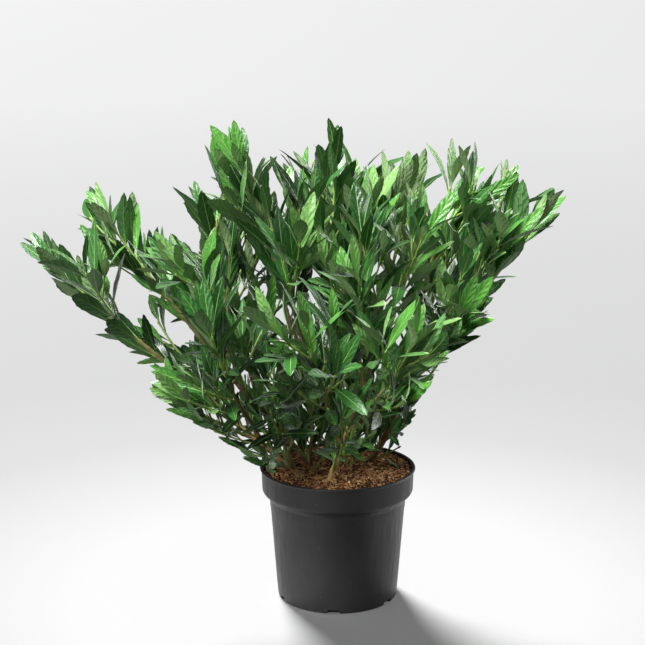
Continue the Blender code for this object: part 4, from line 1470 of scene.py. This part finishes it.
def crumb_shape(base, size, squash, draw):
    """A copy of a base shape, roughened, squashed and turned."""
    points, faces = base
    seed = Vector([draw.uniform(-9, 9) for _ in range(3)])
    turn = any_turn(draw)
    scale = Vector(squash) * size
    shaped = []
    for point in points:
        swell = 1 + 0.55 * noise.noise(point * 2.4 + seed)
        shaped.append(turn @ Vector(a * b * swell for a, b in zip(point, scale)))
    return shaped, faces


def fibre_shape(length, draw):
    """A thin curled strand lying flat."""
    turn = draw.uniform(0, math.tau)
    curl = draw.uniform(-1.6, 1.6)
    step = length / FIBRE_PARTS
    points = []
    at = Vector((0, 0, 0))
    for i in range(FIBRE_PARTS + 1):
        points.append(at.copy())
        angle = turn + curl * i / FIBRE_PARTS
        at += Vector((math.cos(angle), math.sin(angle), draw.uniform(-0.22, 0.22))) * step
    line = Line(points)
    radius = draw.uniform(0.22, 0.45) * MM
    distances = line.steps(0, line.length, step)
    return tube(line, distances, [radius * (1 - 0.5 * d / line.length) for d in distances], 4)


def build_litter(name, shapes, finishes, draw):
    """Many loose bits of soil as one mesh, each bit in one of the finishes."""
    made = mesh_object(name, *join_shapes(shapes))
    indices = []
    for _, faces in shapes:
        indices += [draw.randrange(len(finishes))] * len(faces)
    made.data.polygons.foreach_set("material_index", indices)
    finish_piece(made, finishes, LITTER_SMOOTH, "soil")


def build_soil(settings):
    """The potting soil: its bed, and the crumbs, bark chips and fibres that lie on it."""
    draw = random.Random("soil")
    bed = build_soil_bed(settings, soil_material(settings)).data
    tree = BVHTree.FromPolygons([v.co for v in bed.vertices], [tuple(p.vertices) for p in bed.polygons])
    dark = crumb_material("dark peat crumbs", settings.dark_colour)
    brown = crumb_material("brown peat crumbs", settings.mid_colour)
    chip = crumb_material("composted bark chips", settings.chip_colour)
    fibre = crumb_material("dry fibres", settings.fibre_colour)
    crumb = base_shape("crumb")
    crumbs = []
    for _ in range(settings.crumbs):
        size = draw.uniform(*CRUMB_SIZES) * MM
        spot = soil_spot(draw, tree)
        points, faces = crumb_shape(crumb, size, (1, draw.uniform(0.6, 1), draw.uniform(0.5, 0.9)), draw)
        crumbs.append(([p + spot for p in points], faces))
    build_litter("soil_crumbs", crumbs, (dark, brown, brown, chip, chip, fibre), draw)
    block = base_shape("chip")
    chips = []
    for _ in range(settings.chips):
        size = draw.uniform(*CHIP_SIZES) * MM
        spot = soil_spot(draw, tree) + Vector((0, 0, 0.4 * MM))
        squash = (1, draw.uniform(0.3, 0.6), draw.uniform(0.14, 0.26))
        points, faces = crumb_shape(block, size, squash, draw)
        chips.append(([Vector((p.x, p.y, 0.45 * p.z)) + spot for p in points], faces))
    build_litter("soil_chips", chips, (brown, chip, chip, fibre), draw)
    fibres = []
    for _ in range(settings.fibres):
        spot = soil_spot(draw, tree)
        spot = Vector((FIBRE_REACH * spot.x, FIBRE_REACH * spot.y, spot.z + 0.8 * MM))
        points, faces = fibre_shape(draw.uniform(*FIBRE_LENGTHS) * MM, draw)
        fibres.append(([p + spot for p in points], faces))
    build_litter("soil_fibres", fibres, (chip, fibre, fibre), draw)


# The stage
SENSOR = 36.0
FLOOR_RADIUS = 60.0
FLOOR_RAMP = 12.0
CROWN_MIDDLE = (0.0, 0.0, 0.40)

# The lights: what each is called, its kind, where it stands or shines from, its width, the setting with its
# strength, and whether the floor is all that it falls on or all that it leaves out
LIGHTS = (
    ("floor light", "SUN", (-0.32, 0.92, 0.72), math.radians(20), "floor_power", "INCLUDE"),
    ("key light", "SUN", (-1.0, -0.55, 1.9), math.radians(24), "key_power", "EXCLUDE"),
    ("front light", "AREA", (-1.7, -2.6, 1.6), 0.8, "fill_power", "EXCLUDE"),
    ("edge light", "AREA", (1.9, 0.9, 0.9), 1.2, "edge_power", "EXCLUDE"),
    ("sheen light", "AREA", (-0.3, -0.5, 2.7), 1.8, "sheen_power", "EXCLUDE"),
)

# How rough each finish of a leaf is, how strong its veins are, its gloss and its wax
WAXED = (0.30, 1.00, 0.4, 0.35)
MATT = (0.58, 1.00, 0.3, 0.0)
MIDRIB = (0.45, 0.1, 0.4, 0.0)
STALK = (0.5, 0.1, 0.4, 0.0)


def build_camera(settings):
    """The camera, at the plant's usual viewing angle."""
    camera = new_object("camera", bpy.data.cameras.new("camera"))
    camera.data.lens = settings.lens
    camera.data.sensor_width = SENSOR
    camera.location = CAMERA_PLACE
    camera.rotation_euler = (math.pi / 2 - settings.pitch, 0, 0)
    bpy.context.scene.camera = camera


def floor_material(settings):
    """Pale matt background paper whose colours paint the studio's light: a bright painted pool by the pot,
    greying with distance from it a pace away and paler again far off, with a painted glow that lifts the
    shadows on it.
    """
    # Painted light: the paper glows though no lamp stands behind it
    painted_glow = {"Emission Color": (1.0, 1.0, 1.0, 1.0), "Emission Strength": settings.painted_floor_glow}
    made, shader, tree = new_material("pale background paper", 0.9, 1.45, more=painted_glow)
    reach = node(tree, "ShaderNodeVectorMath", {0: local(tree)}, operation="LENGTH").outputs["Value"]
    # Painted light: the ramp paints a bright pool round the pot that greys with distance
    colour = ramp(tree, combined(tree, "DIVIDE", reach, FLOOR_RAMP), (
        (0.030, settings.floor_painted_pool),
        (0.066, settings.floor_edge),
        (0.100, settings.floor_round),
        (0.160, settings.floor_round),
        (0.540, settings.floor_far),
    ))
    tree.links.new(colour, shader.inputs["Base Color"])
    return made


def build_floor(settings):
    """The floor: one wide disc, level with the pot's underside. It throws no light back at the plant."""
    bpy.ops.object.select_all(action="DESELECT")
    bpy.ops.mesh.primitive_circle_add(vertices=96, radius=FLOOR_RADIUS, fill_type="NGON", location=(0, 0, 0))
    floor = bpy.context.object
    floor.name = "floor"
    floor.data.materials.append(floor_material(settings))
    floor.visible_diffuse = False
    return floor


def add_light(name, kind, place, width, strength, floor, state):
    """A soft light: a SUN that shines from afar, or an AREA light aimed at the middle of the crown."""
    light = bpy.data.lights.new(name, kind)
    light.energy = strength
    made = new_object(name, light)
    aim = -Vector(place)
    if kind == "SUN":
        light.angle = width
    else:
        light.size = width
        made.location = place
        aim += Vector(CROWN_MIDDLE)
    made.rotation_euler = aim.to_track_quat("-Z", "Y").to_euler()
    reach = bpy.data.collections.new(name + " reach")
    reach.objects.link(floor)
    reach.collection_objects[0].light_linking.link_state = state
    made.light_linking.receiver_collection = reach


def build_surround(settings):
    """The pale surround, which lightens the shade a little on every side."""
    world = bpy.data.worlds.new("pale surround")
    bpy.context.scene.world = world
    world.use_nodes = True
    background = world.node_tree.nodes["Background"]
    background.inputs["Color"].default_value = (0.93, 0.94, 0.96, 1.0)
    background.inputs["Strength"].default_value = settings.sky


def leaf_finishes(settings):
    """The greens of the leaves by what they are for."""
    finishes = {}
    for tone in ABOVE_TONES:
        green = getattr(settings, tone)
        finishes["above " + tone] = leaf_material("waxed leaf face, " + tone, green, *WAXED)
    for tone in BELOW_TONES:
        green = getattr(settings, tone)
        finishes["below " + tone] = leaf_material("matt leaf underside, " + tone, green, *MATT)
    finishes["rib"] = leaf_material("leaf midrib", settings.rib, *MIDRIB)
    finishes["keel"] = leaf_material("leaf keel and stalk", settings.keel, *STALK)
    return finishes


class LAUREL_OT_build_pot(bpy.types.Operator):
    """Build the pot in place of its plain solid"""

    bl_idname = "laurel.build_pot"
    bl_label = "Pot"

    def execute(self, context):
        settings = context.scene.laurel_pot
        build_pot(settings, pot_material(settings))
        return {"FINISHED"}


class LAUREL_OT_build_soil(bpy.types.Operator):
    """Build the potting soil with its crumbs, chips and fibres"""

    bl_idname = "laurel.build_soil"
    bl_label = "Soil"

    def execute(self, context):
        build_soil(context.scene.laurel_soil)
        return {"FINISHED"}


class LAUREL_OT_build_bark(bpy.types.Operator):
    """Build the stems and boughs with their bark"""

    bl_idname = "laurel.build_bark"
    bl_label = "Stems and boughs"

    def execute(self, context):
        plant = Plant.get(context.scene.laurel_leaf)
        wood = context.scene.laurel_wood
        old_shades = (wood.bark_shade, wood.bark_colour, wood.bark_worn)
        young_shades = (wood.turning_colour, wood.tan_colour, wood.bark_flush)
        old = bark_material(wood, "laurel bark, old", *old_shades)
        young = bark_material(wood, "laurel bark, young", *young_shades)
        for cane in CANES:
            if cane.bare > 0:
                build_limb(cane, plant.lines[cane.name], young if cane.name in YOUNG_STEMS else old)
        return {"FINISHED"}


class LAUREL_OT_build_twigs(bpy.types.Operator):
    """Build the leaders, side shoots and finer twigs of every mass of foliage"""

    bl_idname = "laurel.build_twigs"
    bl_label = "Twigs"

    def execute(self, context):
        plant = Plant.get(context.scene.laurel_leaf)
        finish = shoot_material(context.scene.laurel_wood)
        for name, shoots in plant.shoots.items():
            build_twigs(name, shoots, finish)
        return {"FINISHED"}


class LAUREL_OT_build_leaves(bpy.types.Operator):
    """Build the leaves of every mass of foliage"""

    bl_idname = "laurel.build_leaves"
    bl_label = "Leaves"

    def execute(self, context):
        settings = context.scene.laurel_leaf
        plant = Plant.get(settings)
        bare = [name for name, leaves in plant.leaves.items() if not leaves]
        if bare:
            raise RuntimeError("no leaf finds room on " + ", ".join(bare))
        finishes = leaf_finishes(settings)
        for name, leaves in plant.leaves.items():
            build_leaves(name, leaves, finishes, settings)
        return {"FINISHED"}


class LAUREL_OT_build_stage(bpy.types.Operator):
    """Set up the camera, the pale floor and the soft lights"""

    bl_idname = "laurel.build_stage"
    bl_label = "Stage"

    def execute(self, context):
        settings = context.scene.laurel_stage
        build_camera(settings)
        floor = build_floor(settings)
        build_surround(settings)
        for name, kind, place, width, power, state in LIGHTS:
            add_light(name, kind, place, width, getattr(settings, power), floor, state)
        context.scene.view_settings.view_transform = "Standard"
        return {"FINISHED"}


class LAUREL_PT_builder(bpy.types.Panel):
    """Lists the plant's pieces and their settings"""

    bl_idname = "LAUREL_PT_builder"
    bl_label = "Potted cherry laurel"
    bl_space_type = "VIEW_3D"
    bl_region_type = "UI"
    bl_category = "Laurel"

    def draw(self, context):
        for name, _, operators in PARTS:
            box = self.layout.box()
            settings = getattr(context.scene, name)
            for setting in settings.__annotations__:
                box.prop(settings, setting)
            for operator in operators:
                box.operator(operator.bl_idname)


PARTS = (
    ("laurel_pot", PotSettings, (LAUREL_OT_build_pot,)),
    ("laurel_soil", SoilSettings, (LAUREL_OT_build_soil,)),
    ("laurel_wood", WoodSettings, (LAUREL_OT_build_bark, LAUREL_OT_build_twigs)),
    ("laurel_leaf", LeafSettings, (LAUREL_OT_build_leaves,)),
    ("laurel_stage", StageSettings, (LAUREL_OT_build_stage,)),
)
CLASSES = (*(kind for _, group, operators in PARTS for kind in (group, *operators)), LAUREL_PT_builder)


def register():
    """Registers the add-on's classes and its settings."""
    for kind in CLASSES:
        bpy.utils.register_class(kind)
    for name, group, _ in PARTS:
        setattr(bpy.types.Scene, name, PointerProperty(type=group))


def unregister():
    """Takes the add-on's settings and classes out again."""
    for name, _, _ in PARTS:
        delattr(bpy.types.Scene, name)
    for kind in reversed(CLASSES):
        bpy.utils.unregister_class(kind)


def main():
    """Builds the plant on its stage."""
    register()
    bpy.ops.laurel.build_pot()
    bpy.ops.laurel.build_soil()
    bpy.ops.laurel.build_bark()
    bpy.ops.laurel.build_twigs()
    bpy.ops.laurel.build_leaves()
    bpy.ops.laurel.build_stage()


if __name__ == "__main__":
    main()
